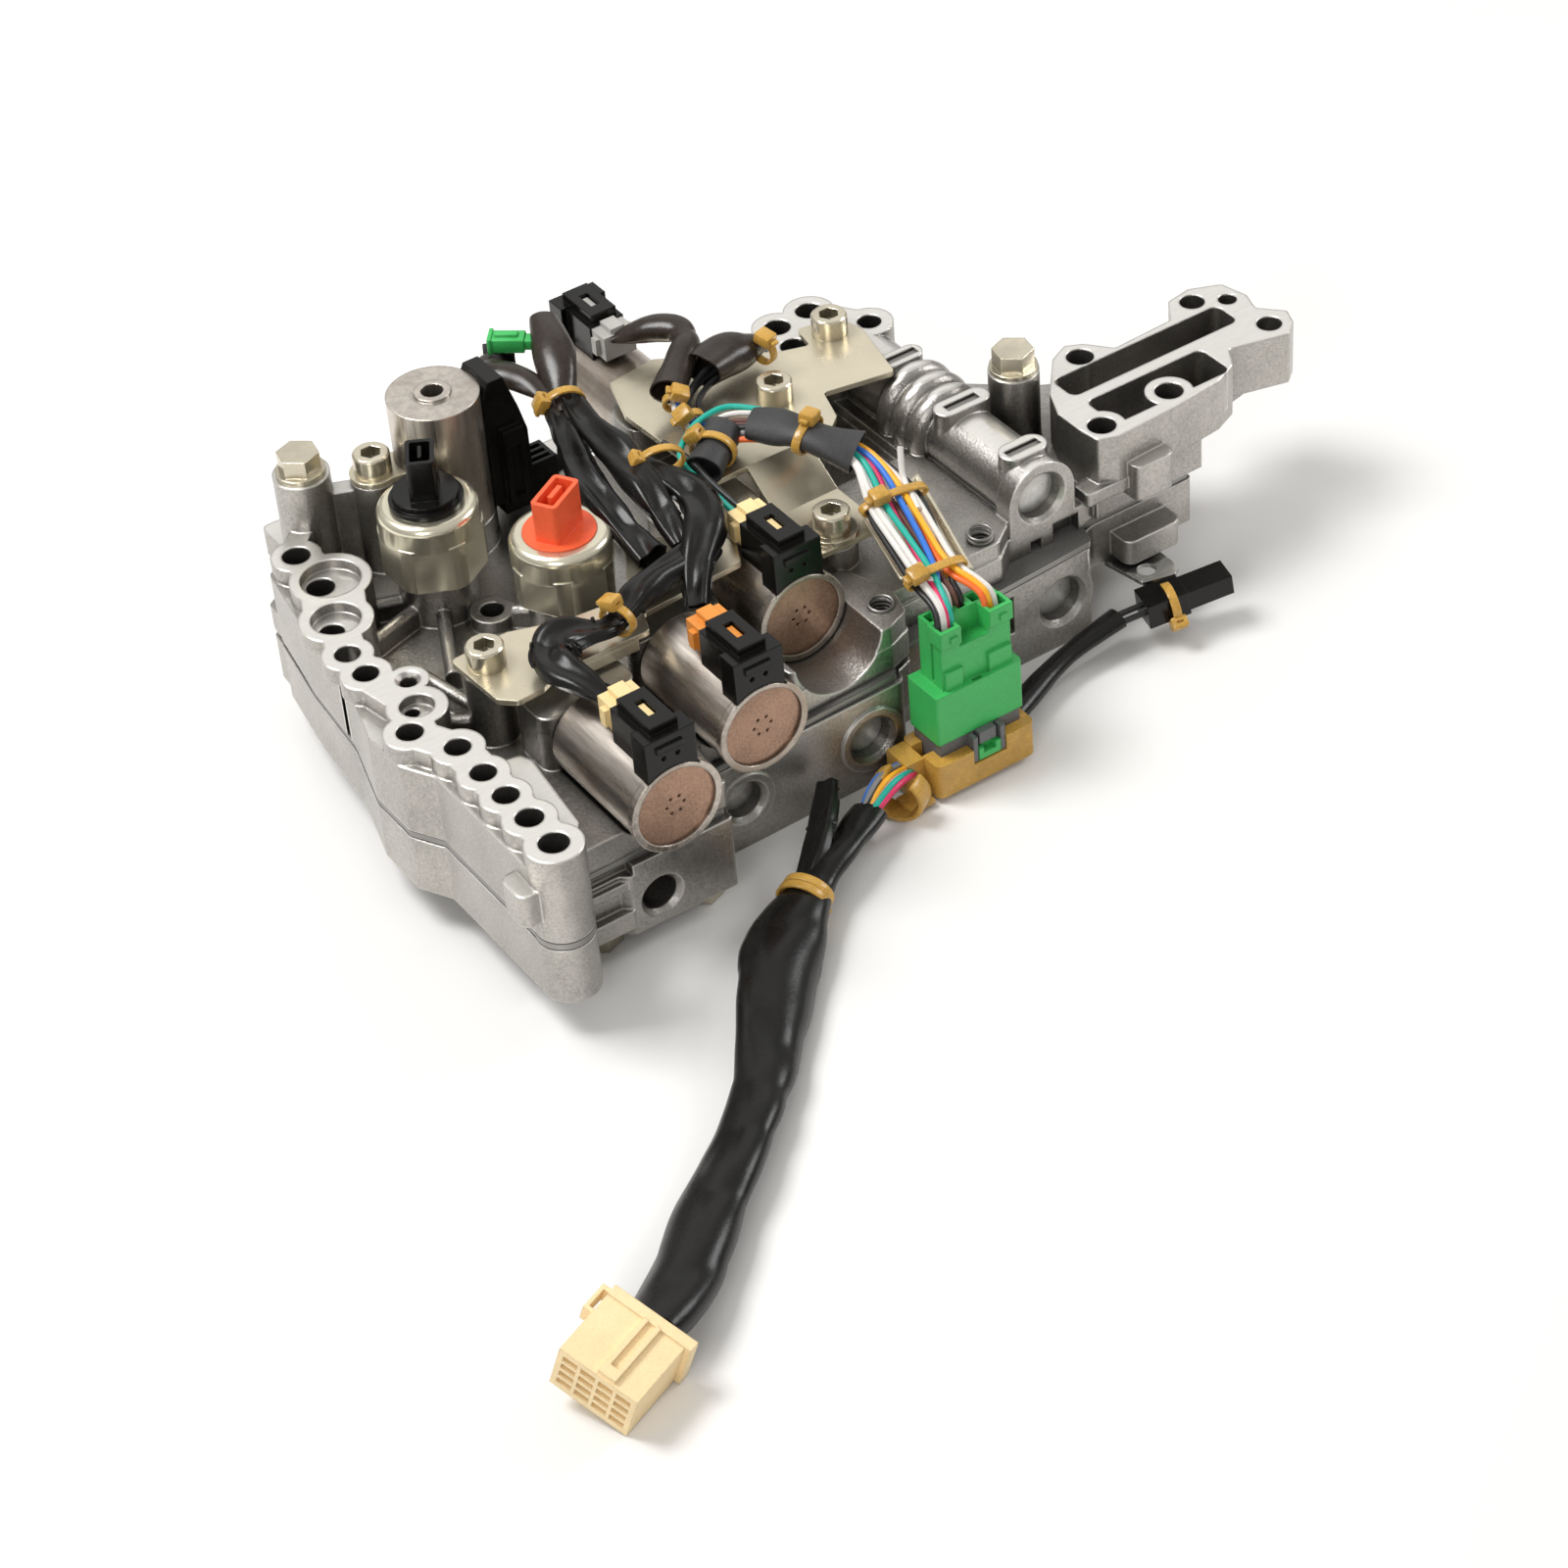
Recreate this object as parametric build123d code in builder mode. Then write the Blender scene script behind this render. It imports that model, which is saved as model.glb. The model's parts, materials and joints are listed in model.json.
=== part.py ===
from build123d import *
import math
import os

# Stack heights above the surface that the valve body stands on, in millimetres
seam_z = 28.0
gasket_t = 0.4
plate_t = 1.6
deck_z = 56.0
floor_z = 38.0
pad_z = 43.0
bracket_z = 58.5
bracket_t = 1.6
step_z = 50.0
washer_t = 1.4
upper_z = seam_z + 2 * gasket_t + plate_t
flank_z = deck_z - 5.0
side_pad_z = 46.0
block_foot_z = 6.0
flank_foot_z = 11.0
right_foot_z = 14.0

# Fits and clearances
slide_fit = 0.03
air = 0.3

# Fasteners
bolt_r = 3.0
bolt_hole_r = bolt_r + air
socket_head_r = 5.0
socket_head_h = 6.0
hex_af = 10.0
hex_flange_r = 6.6
hex_head_h = 6.5

# Solenoids
can_r = 12.4
can_len = 37.5
can_wall = 1.2
rim_r = 13.0
rim_w = 2.2
cap_t = 1.6
nozzle_r = 6.0
nozzle_len = 12.0
front_axis_z = 45.5

# Valve bores along Y
low_bore_z = 14.5
spool_neck_r = 3.2

# Gallery flange: x, y, bore radius and width of the rim around it
gallery = [
    (-123.7, 51.7, 3.8, 3.0),
    (-121.5, 37.5, 8.0, 2.8),
    (-128.8, 21.8, 6.6, 3.2),
    (-133.7, 7.2, 3.4, 3.4),
    (-134.0, -2.6, 3.4, 3.4),
    (-130.5, -21.9, 4.5, 3.4),
    (-137.1, -29.7, 3.5, 3.4),
    (-130.8, -42.1, 3.4, 3.6),
    (-130.9, -54.4, 3.4, 3.4),
    (-131.0, -65.1, 3.4, 3.3),
    (-130.9, -75.8, 3.6, 3.4),
    (-131.2, -87.3, 3.9, 3.6),
]

corner_r = 7.5
recess_depth = 3.0
recess_ports = [(-123.8, 39.4, 3.8), (-130.9, 21.0, 3.4), (-131.3, -20.4, 1.9)]
sunk_hole = (-126.9, -11.4, 2.2, 3.3)

# Port plate: x, y and radius of its bores
port_bores = [
    (127.0, -5.4, 3.5),
    (135.2, -10.6, 2.6),
    (136.4, -27.1, 3.5),
    (87.3, -6.7, 3.8),
    (95.8, -34.6, 3.9),
    (72.3, -35.7, 3.9),
]
back_bores = [(32.1, 58.1, 3.8), (43.5, 59.3, 3.8), (53.3, 44.1, 3.4), (30.5, 47.6, 3.8)]


def up(z, x=0.0, y=0.0):
    """A level plane at height z."""
    return Plane(origin=(x, y, z), x_dir=(1, 0, 0), z_dir=(0, 0, 1))


def front(y, x=0.0, z=0.0):
    """A plane that faces the front, its own axes along X and up."""
    return Plane(origin=(x, y, z), x_dir=(1, 0, 0), z_dir=(0, -1, 0))


def back(y, x=0.0, z=0.0):
    """A plane that faces the back, its own axes along -X and up."""
    return Plane(origin=(x, y, z), x_dir=(-1, 0, 0), z_dir=(0, 1, 0))


def post(plane, r, h, mode=Mode.ADD):
    """A round post, or a round bore, from a plane."""
    with BuildSketch(plane) as face:
        Circle(r)
    extrude(face.sketch, amount=h, mode=mode)


def mouth_cut(plane, r, flare):
    """A conical mouth that opens a bore of radius r towards the face it starts in."""
    with Locations(plane):
        Cone(r, r + flare, flare, align=(Align.CENTER, Align.CENTER, Align.MAX), mode=Mode.SUBTRACT)


def slab(points, z0, z1, mode=Mode.ADD, r=0.0):
    """A level slab with straight sides between two heights."""
    with BuildSketch(up(z0)) as face:
        with BuildLine():
            Polyline(*points, close=True)
        make_face()
        if r:
            fillet(face.vertices(), r)
    extrude(face.sketch, amount=z1 - z0, mode=mode)


def block(x0, x1, y0, y1, z0, z1, mode=Mode.ADD, r=0.0):
    """A level block with upright corner rounds of radius r."""
    with BuildSketch(up(z0, (x0 + x1) / 2, (y0 + y1) / 2)) as face:
        if r:
            RectangleRounded(x1 - x0, y1 - y0, r)
        else:
            Rectangle(x1 - x0, y1 - y0)
    extrude(face.sketch, amount=z1 - z0, mode=mode)


def rib(x0, y0, x1, y1, w, z0, z1):
    """A cast rib with a round crest from one point to another."""
    length = math.hypot(x1 - x0, y1 - y0)
    start = Plane(origin=(x0, y0, z0), x_dir=(y0 - y1, x1 - x0, 0), z_dir=(x1 - x0, y1 - y0, 0))
    with BuildSketch(start) as face:
        with Locations((0, (z1 - z0 - w / 2) / 2)):
            Rectangle(w, z1 - z0 - w / 2)
        with Locations((0, z1 - z0 - w / 2)):
            Circle(w / 2)
    extrude(face.sketch, amount=length)


def bar(x0, y0, x1, y1, w, z0, z1):
    """An upright rib of width w from one point to another."""
    length = math.hypot(x1 - x0, y1 - y0)
    turn = math.degrees(math.atan2(y1 - y0, x1 - x0))
    with BuildSketch(up(z0, (x0 + x1) / 2, (y0 + y1) / 2)) as face:
        Rectangle(length, w, rotation=turn)
    extrude(face.sketch, amount=z1 - z0)


# Plan of the castings, shared by both bodies
left_plan = [
    (-130.5, 55.5),
    (-134.8, 30.0),
    (-137.2, 4.0),
    (-143.4, -18.0),
    (-143.4, -34.0),
    (-138.5, -43.0),
    (-138.5, -88.0),
    (-126.0, -88.0),
    (-127.0, -60.0),
    (-130.0, -20.0),
    (-128.0, 5.0),
    (-118.0, 35.0),
    (-117.0, 60.0),
]
base_plan = [
    (-130.0, 60.0),
    (-134.0, 4.0),
    (-134.0, -80.0),
    (-122.0, -80.0),
    (-122.0, -76.0),
    (-76.0, -76.0),
    (-74.0, -60.0),
    (-13.0, -58.0),
    (-5.5, -55.0),
    (-3.5, -46.5),
    (31.0, -46.0),
    (37.0, -41.0),
    (60.0, -41.0),
    (66.0, -39.0),
    (100.0, -39.0),
    (100.0, 2.0),
    (84.0, 12.0),
    (60.5, 34.0),
    (60.5, 50.0),
    (45.0, 66.5),
    (26.0, 66.5),
    (22.0, 56.0),
    (-29.0, 56.0),
    (-33.0, 66.5),
    (-64.0, 68.0),
    (-112.0, 72.0),
]
plate_plan = [
    (-129.5, 56.0),
    (-134.6, 30.0),
    (-137.0, 4.0),
    (-143.2, -18.0),
    (-143.2, -34.0),
    (-138.3, -43.0),
    (-138.3, -86.0),
    (-126.0, -86.0),
    (-122.5, -76.0),
    (-77.0, -76.0),
    (-75.0, -62.0),
    (-13.0, -59.5),
    (-10.0, -52.0),
    (20.0, -49.0),
    (60.0, -46.5),
    (62.0, -39.0),
    (99.5, -38.6),
    (99.5, 2.0),
    (84.0, 12.0),
    (60.0, 34.0),
    (60.0, 50.0),
    (45.0, 66.0),
    (26.0, 66.0),
    (22.0, 55.5),
    (-29.4, 55.5),
    (-33.4, 66.0),
    (-64.0, 67.5),
    (-112.0, 71.5),
]

# Assembly bolts from the underside: x, y and the height of the seat over the head
deep_seat_z = 7.0
under_bolts = [
    (-82.0, -69.0, block_foot_z),
    (-112.0, -68.0, block_foot_z),
    (-104.0, 44.0, block_foot_z),
    (-44.0, 38.0, deep_seat_z),
    (-42.0, -50.0, deep_seat_z),
    (8.0, 38.0, deep_seat_z),
    (70.0, 20.0, right_foot_z),
    (90.0, -18.0, right_foot_z),
    (18.0, -37.5, deep_seat_z),
]
under_head_h = 5.6
dowels = [(-126.5, -60.0), (92.0, -31.0)]
dowel_r = 3.5
oil_holes = [
    (-112.0, 10.0), (-100.0, -5.0), (-60.0, 20.0), (-30.0, 18.0),
    (0.0, 10.0), (28.0, -8.0), (70.0, 0.0), (80.0, -20.0),
]

# Bolts seen on top: x, y and the height of the seat under the head
socket_bolts = [
    (-110.5, -23.2, bracket_z + bracket_t),
    (-95.5, 57.4, 67.0),
    (-6.7, -23.8, step_z + bracket_t + washer_t),
    (9.4, 25.3, bracket_z + bracket_t),
    (38.8, 41.8, bracket_z + bracket_t),
]
flange_bolts = [(-112.5, 65.1, 70.0), (66.8, -4.3, 60.0)]
top_bolt_len = 22.0

# Front solenoids: x of the axis and y of the cap, then the upright and the rear one
front_solenoids = [(-94.9, -84.0), (-61.4, -72.3), (-28.9, -42.0)]
upright_x = -76.9
upright_y = 54.2
upright_top = 85.0
rear_x = -11.0
rear_cap_y = 94.8

# Lower valve bores: x, front face y, bore radius, depth
low_bores = [
    (-98.5, -78.0, 4.9, 92.0),
    (-62.5, -62.0, 5.2, 70.0),
    (-23.0, -62.0, 6.0, 74.0),
    (50.0, -46.5, 6.5, 66.0),
]
high_bore_x = 48.2
high_bore_y = -41.0
high_bore_z = 46.5
high_bore_r = 6.6
high_bore_depth = 79.0
housing_r = 10.6
key_w = 2.4
low_waist = 9.8
high_waist = 6.6
key_seats = [-33.0, -6.0, 22.0]
key_pads = [(14.0, 8.0), (17.0, 7.0), (13.4, 6.4)]

# Pressure switches: x, y
switches = [(-94.1, 31.2), (-72.7, 1.3)]
switch_foot_z = 51.5
switch_hex = 25.4
switch_r = 13.7


def scallops():
    """The round rims of the gallery and the webs between them, drawn in the open sketch."""
    for gx, gy, gr, rim in gallery:
        with Locations((gx, gy)):
            Circle(gr + rim)
    for (ax, ay, ar, aw), (bx, by, br, bw) in zip(gallery, gallery[1:]):
        span = math.hypot(bx - ax, by - ay)
        turn = math.degrees(math.atan2(by - ay, bx - ax))
        with Locations(((ax + bx) / 2, (ay + by) / 2)):
            Rectangle(span, 2 * min(ar, br) + 3.4, rotation=turn)
    with Locations(sunk_hole[:2]):
        Circle(5.4)


# Upper body, cast in one piece
with BuildPart() as upper_body:
    slab(base_plan, upper_z, floor_z, r=1.5)
    slab(left_plan, upper_z, flank_z, r=2.5)
    post(up(upper_z, gallery[-1][0], gallery[-1][1]), corner_r, deck_z - upper_z)
    # scalloped gallery flange, and its root inside the outline of the flank
    with BuildSketch(up(flank_z)):
        scallops()
    extrude(amount=deck_z - flank_z)
    with BuildSketch(up(upper_z)):
        scallops()
        with BuildLine():
            Polyline(*left_plan[:8], (-100.0, -88.0), (-100.0, 55.5), close=True)
        make_face(mode=Mode.INTERSECT)
    extrude(amount=flank_z - upper_z)
    inner_ledge = [
        (-130.0, -46.0), (-117.5, -48.5), (-116.0, -52.0), (-117.2, -60.0),
        (-119.6, -79.0), (-122.0, -82.0), (-130.0, -82.0),
    ]
    slab(inner_ledge, upper_z, 50.5, r=1.2)
    # milled pad on the flank beside the corner, and the lug behind the first boss
    block(-143.2, -133.0, -90.0, -79.6, 36.5, side_pad_z, r=2.5)
    block(-119.5, -110.5, 66.0, 81.5, floor_z, side_pad_z, r=2.0)
    # bosses at the back left corner with the web between them
    post(up(upper_z, flange_bolts[0][0], flange_bolts[0][1]), 7.6, 70.0 - upper_z)
    post(up(upper_z, socket_bolts[1][0], socket_bolts[1][1]), 6.4, 65.4 - upper_z)
    bar(-112.5, 65.1, -95.5, 57.4, 5.0, upper_z, 63.5)
    bar(-124.0, 54.0, -112.5, 65.1, 6.0, upper_z, 56.0)
    # seats of the two pressure switches
    for sx, sy in switches:
        post(up(floor_z - 2, sx, sy), 10.5, switch_foot_z - floor_z + 2)
    # seat of the upright solenoid
    post(up(floor_z - 2, upright_x, upright_y), 12.6, 47.5 - floor_z + 2)
    block(-58.0, -33.5, 59.3, 66.0, floor_z - 2, side_pad_z, r=2.5)
    # raised pad with the cast marks, and the seat in front of the third solenoid
    mark_pad = [
        (-13.0, -50.0), (-6.0, -45.5), (30.6, -45.5), (38.0, -40.0),
        (38.0, 2.0), (4.0, 2.0), (-13.0, -30.0),
    ]
    slab(mark_pad, floor_z - 2, pad_z, r=3.0)
    front_seat = [
        (-44.0, -57.8), (-13.0, -57.8), (-5.7, -54.6), (-3.7, -46.5), (-8.0, -30.0), (-44.0, -30.0),
    ]
    slab(front_seat, floor_z - 4, 44.0, r=2.0)
    middle_pad = [(-44.0, -30.0), (-8.0, -34.0), (4.0, 0.0), (20.0, 55.5), (-44.0, 55.5)]
    slab(middle_pad, floor_z - 2, pad_z, r=3.0)
    # boss under each bracket bolt
    for bx, by, seat in (socket_bolts[0], socket_bolts[3], socket_bolts[4]):
        post(up(floor_z - 2, bx, by), 6.2, bracket_z - floor_z + 2)
    post(up(floor_z - 2, socket_bolts[2][0], socket_bolts[2][1]), 6.6, step_z - floor_z + 2)
    post(up(floor_z - 2, flange_bolts[1][0], flange_bolts[1][1]), 7.0, 60.0 - floor_z + 2)
    # ring around the open drain hole of the floor
    post(up(floor_z - 1, -87.5, 16.0), 5.8, 4.0 + 1)
    # ribs from the switch seats to the gallery and across the floor
    for spine in (
        (-94.1, 31.2, -122.0, 40.0),
        (-94.1, 31.2, -124.0, 22.0),
        (-94.1, 31.2, -110.0, -2.0),
        (-110.5, -23.2, -128.0, -12.0),
        (-110.5, -23.2, -116.0, 4.0),
        (-110.5, -23.2, -93.0, 2.0),
        (-90.0, 21.5, -94.1, 31.2),
        (-83.5, 12.0, -72.7, 1.3),
    ):
        rib(*spine, 4.0, floor_z - 1, 44.0)
    # long valve housing: an arched front, a barrel, three beads and three keyway pads
    with BuildSketch(front(high_bore_y, high_bore_x)):
        with Locations((0, high_bore_z)):
            Circle(housing_r)
        with Locations((0, (upper_z + high_bore_z) / 2)):
            Rectangle(2 * housing_r, high_bore_z - upper_z)
    extrude(amount=-6.0)
    with BuildSketch(front(high_bore_y + 5.0, high_bore_x)):
        with Locations((0, high_bore_z)):
            Circle(housing_r - 0.9)
        with Locations((0, (upper_z + high_bore_z - 4) / 2)):
            Rectangle(2 * housing_r - 3.0, high_bore_z - 4 - upper_z)
    extrude(amount=-89.0)
    for bead_y in (1.5, 8.5, 15.5):
        with Locations(front(bead_y, high_bore_x, high_bore_z)):
            Torus(housing_r - 1.8, 3.8)
        slope = [(high_bore_x - 10.6, bead_y - 3.0), (high_bore_x + 10.6, bead_y - 3.0)]
        slope += [(high_bore_x + 10.6, bead_y + 3.0), (high_bore_x - 10.6, bead_y + 3.0)]
        slab(slope, floor_z - 2, high_bore_z - 2.0)
    slab(base_plan, 0.0, upper_z, Mode.SUBTRACT)
    for key_y, (pad_w, pad_l) in zip(key_seats, key_pads):
        with BuildSketch(up(high_bore_z, high_bore_x, key_y)):
            SlotOverall(pad_w, pad_l)
        extrude(amount=housing_r + 1.4)
    # shoulder that carries the bore into the deck
    block(high_bore_x - 13.0, high_bore_x + 13.0, -34.0, 44.0, floor_z - 2, 41.5, r=3.0)
    # port plate with its cantilevered arm and the ramp under it
    port_plan = [
        (122.0, -1.2), (130.0, 0.2), (138.6, -3.8), (140.5, -12.4), (138.4, -18.8), (144.1, -25.4),
        (141.8, -30.9), (137.6, -34.3), (120.4, -29.5), (116.5, -36.0), (109.1, -39.3), (92.2, -41.2),
        (72.6, -42.3), (67.4, -40.2), (66.6, -33.4), (66.6, -23.9), (70.4, -15.4), (80.8, -3.0),
        (87.2, 0.1), (91.8, -2.4), (97.2, -9.5), (116.9, -8.6),
    ]
    slab(port_plan, 40.0, deck_z, r=1.2)
    slab([(66.6, -40.4), (103.0, -39.4), (103.0, -8.5), (88.0, -1.5), (66.6, -20.0)], upper_z, 40.0)
    with BuildSketch(front(-8.6)):
        with BuildLine():
            Polyline((100.0, 40.0), (134.0, 40.0), (100.0, upper_z + 1.0), close=True)
        make_face()
    extrude(amount=20.0)
    # milled pad on the right front and the ledge beside it
    block(75.8, 88.5, -46.5, -38.0, 35.0, side_pad_z, r=2.5)
    block(62.0, 77.0, -42.6, -36.0, 37.5, 41.5, r=1.5)
    # back port block
    back_plan = [
        (24.8, 64.0), (27.0, 66.5), (46.0, 66.5), (50.8, 61.5), (51.2, 55.0),
        (58.5, 50.8), (60.4, 46.0), (59.5, 38.5), (46.0, 36.0), (23.6, 42.0),
    ]
    slab(back_plan, floor_z - 2, 46.0, r=2.0)
    slab([(bx, by) for bx, by, br in back_bores], 45.0, deck_z)
    for (ax, ay, ar), (bx, by, br) in zip(back_bores, back_bores[1:] + back_bores[:1]):
        bar(ax, ay, bx, by, 9.0, 45.0, deck_z)
        post(up(45.0, ax, ay), ar + 3.4, deck_z - 45.0)
    # wall and seat at the nose of each front solenoid
    for cx, cy in front_solenoids:
        nose_y = cy + can_len
        block(cx - 14.0, cx + 14.0, nose_y + air, nose_y + 16.0, floor_z - 4, 54.5, r=4.0)
    nose_y = rear_cap_y - can_len
    block(rear_x - 14.0, rear_x + 14.0, nose_y - 15.0, nose_y - air, floor_z - 4, 54.5, r=4.0)
    # cradle under each lying solenoid
    for cx, cy in front_solenoids:
        mouth = min(cy - 3.0, -60.0)
        post(front(mouth, cx, front_axis_z), can_r + 1.0, mouth - cy - can_len - air, Mode.SUBTRACT)
    post(back(rear_cap_y + 3.0, rear_x, front_axis_z), can_r + 1.0, -can_len - 3.0 - air, Mode.SUBTRACT)
    # bores of the gallery flange and its shallow recesses
    for gx, gy, gr, rim in gallery:
        if gr > 4.0:
            post(up(deck_z - recess_depth, gx, gy), gr, recess_depth, Mode.SUBTRACT)
        else:
            post(up(upper_z, gx, gy), gr, deck_z - upper_z, Mode.SUBTRACT)
    for gx, gy, gr in recess_ports:
        post(up(upper_z, gx, gy), gr, deck_z - upper_z, Mode.SUBTRACT)
    post(up(deck_z - 9.0, *sunk_hole[:2]), sunk_hole[2], 9.0, Mode.SUBTRACT)
    mouth_cut(up(deck_z, *sunk_hole[:2]), sunk_hole[2], sunk_hole[3] - sunk_hole[2])
    # bores and the two long slots of the port plate
    for px, py, pr in port_bores:
        post(up(upper_z, px, py), pr, deck_z - upper_z, Mode.SUBTRACT)
    block(74.5, 131.0, -20.6, -10.8, deck_z - 12.0, deck_z, Mode.SUBTRACT, r=2.5)
    with BuildSketch(up(deck_z - 12.0)) as slot_two:
        with Locations((95.0, -31.0)):
            RectangleRounded(39.0, 13.2, 2.5)
        with Locations((95.8, -34.6), (72.3, -35.7)):
            Circle(6.6, mode=Mode.SUBTRACT)
    extrude(amount=12.0, mode=Mode.SUBTRACT)
    for px, py, pr in back_bores:
        post(up(upper_z, px, py), pr, deck_z - upper_z, Mode.SUBTRACT)
    # valve bore of the long housing, its mouth chamfer and the keyways
    post(front(high_bore_y, high_bore_x, high_bore_z), high_bore_r, -high_bore_depth, Mode.SUBTRACT)
    mouth_cut(front(high_bore_y, high_bore_x, high_bore_z), high_bore_r, 1.2)
    for key_y in key_seats:
        with BuildSketch(up(high_bore_z - 4.0, high_bore_x, key_y)):
            Rectangle(10.4, key_w + 0.4)
        extrude(amount=housing_r + 6.0, mode=Mode.SUBTRACT)
    # foot of the arch, open over the separator plate
    block(44.0, 47.6, -42.0, -37.5, upper_z, 33.8, Mode.SUBTRACT)
    block(51.4, 60.0, -42.0, -37.5, upper_z, 36.4, Mode.SUBTRACT)
    # open drain hole in the floor ring
    post(up(upper_z, -87.5, 16.0), 3.2, 20.0, Mode.SUBTRACT)
    # seats of the switches, the upright solenoid and the solenoid noses
    for sx, sy in switches:
        post(up(switch_foot_z - 8.0, sx, sy), 5.0, 8.0, Mode.SUBTRACT)
    seat_r = nozzle_r + slide_fit
    seat_len = nozzle_len + 0.5
    post(up(47.5 - seat_len, upright_x, upright_y), seat_r, seat_len + 0.5, Mode.SUBTRACT)
    for cx, cy in front_solenoids:
        post(front(cy + can_len, cx, front_axis_z), seat_r, -seat_len, Mode.SUBTRACT)
    post(back(rear_cap_y - can_len, rear_x, front_axis_z), seat_r, -seat_len, Mode.SUBTRACT)
    # tapped holes on top and holes for the bolts
    for tx, ty, tz in ((27.9, -40.9, pad_z), (-9.4, -48.7, 44.0)):
        post(up(tz - 11.0, tx, ty), 3.0, 11.5, Mode.SUBTRACT)
    for bx, by, seat in socket_bolts + flange_bolts:
        post(up(seat - top_bolt_len - 1.0, bx, by), bolt_hole_r, top_bolt_len + 2.0, Mode.SUBTRACT)
    for bx, by, seat in under_bolts:
        post(up(upper_z, bx, by), bolt_hole_r, 7.0, Mode.SUBTRACT)
    for bx, by in dowels:
        post(up(upper_z, bx, by), dowel_r + slide_fit, 5.0, Mode.SUBTRACT)
upper_body.part.label = "upper_body"

# Lower body, with four valve bores that open at the front
with BuildPart() as lower_body:
    slab(base_plan, right_foot_z, seam_z, r=1.5)
    slab(left_plan, flank_foot_z, seam_z, r=2.5)
    post(up(flank_foot_z, gallery[-1][0], gallery[-1][1]), corner_r, seam_z - flank_foot_z)
    side_plan = [
        (-128.0, 40.0), (-128.0, -70.0), (-122.0, -75.6), (-109.6, -75.6),
        (-107.0, -78.0), (-76.2, -78.0), (-76.2, 52.0), (-104.0, 56.0),
    ]
    slab(side_plan, block_foot_z, seam_z, r=1.2)
    # ledges between the corner post and the first bore
    block(-124.0, -106.5, -78.6, -72.0, 9.0, 14.5, r=1.0)
    block(-124.0, -106.5, -77.6, -72.0, 21.0, 23.5, r=1.0)
    deep_plan = [
        (-78.0, -62.0), (-11.5, -61.0), (-8.0, -46.5), (61.0, -46.5),
        (61.0, 34.0), (30.0, 50.0), (-78.0, 50.0),
    ]
    slab(deep_plan, 0.0, seam_z, r=3.0)
    block(72.0, 90.5, -46.8, -36.0, right_foot_z + 1.5, 23.0, r=3.0)
    # bosses around the bore mouths
    for bx, by, br, depth in low_bores:
        post(front(by, bx, low_bore_z), br + 3.6, -8.0)
    for bx, by, br, depth in low_bores:
        post(front(by, bx, low_bore_z), br, -depth, Mode.SUBTRACT)
        mouth_cut(front(by, bx, low_bore_z), br, 1.4)
    # keyways cut from the seam face
    for bx, by, br, depth in low_bores[1:]:
        key_y = by + low_waist
        half = br - 1.2
        block(bx - half, bx + half, key_y, key_y + key_w + 0.4, low_bore_z - 3.0, seam_z, Mode.SUBTRACT)
    # lightening pockets of the underside
    for x0, x1, reach in ((-52.0, -33.0, 34.0), (-12.0, 14.0, 28.0), (22.0, 38.0, 28.0)):
        block(x0, x1, -6.0 - reach, reach, 0.0, 9.0, Mode.SUBTRACT, r=3.0)
    block(-120.0, -112.0, -50.0, 20.0, block_foot_z, 14.0, Mode.SUBTRACT, r=3.0)
    # pocket between the two right hand bores
    block(4.0, 34.0, -47.5, -43.0, 12.0, 24.0, Mode.SUBTRACT)
    # notch on the front left face
    block(-119.0, -106.0, -79.0, -74.6, 25.0, seam_z, Mode.SUBTRACT)
    for bx, by, seat in under_bolts:
        post(up(0.0, bx, by), bolt_hole_r, seam_z, Mode.SUBTRACT)
        post(up(0.0, bx, by), hex_flange_r + 0.6, seat, Mode.SUBTRACT)
    for bx, by in dowels:
        post(up(seam_z - 5.0, bx, by), dowel_r + slide_fit, 5.0, Mode.SUBTRACT)
    # the case bolt of the front left corner runs right through
    post(up(flank_foot_z, *gallery[-1][:2]), gallery[-1][2], seam_z - flank_foot_z, Mode.SUBTRACT)
lower_body.part.label = "lower_body"


def sheet(z0, thick, grow):
    """A sheet between the castings, pierced for bolts, dowels and oil."""
    with BuildPart() as made:
        slab(plate_plan, z0, z0 + thick, r=1.5)
        post(up(z0, gallery[-1][0], gallery[-1][1]), corner_r, thick)
        post(up(z0, gallery[-1][0], gallery[-1][1]), gallery[-1][2], thick, Mode.SUBTRACT)
        for bx, by, seat in under_bolts:
            post(up(z0, bx, by), bolt_hole_r + grow, thick, Mode.SUBTRACT)
        for bx, by in dowels:
            post(up(z0, bx, by), dowel_r + slide_fit + grow, thick, Mode.SUBTRACT)
        for ox, oy in oil_holes:
            post(up(z0, ox, oy), 1.6 + grow, thick, Mode.SUBTRACT)
    return made.part


lower_gasket = sheet(seam_z, gasket_t, 0.6)
separator_plate = sheet(seam_z + gasket_t, plate_t, 0.0)
upper_gasket = sheet(seam_z + gasket_t + plate_t, gasket_t, 0.6)
lower_gasket.label = "lower_gasket"
separator_plate.label = "separator_plate"
upper_gasket.label = "upper_gasket"

with BuildPart() as dowel_pins:
    for bx, by in dowels:
        post(up(seam_z - 4.6, bx, by), dowel_r, 4.6 + (upper_z - seam_z) + 4.6)
dowel_pins.part.label = "dowel_pins"

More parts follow.
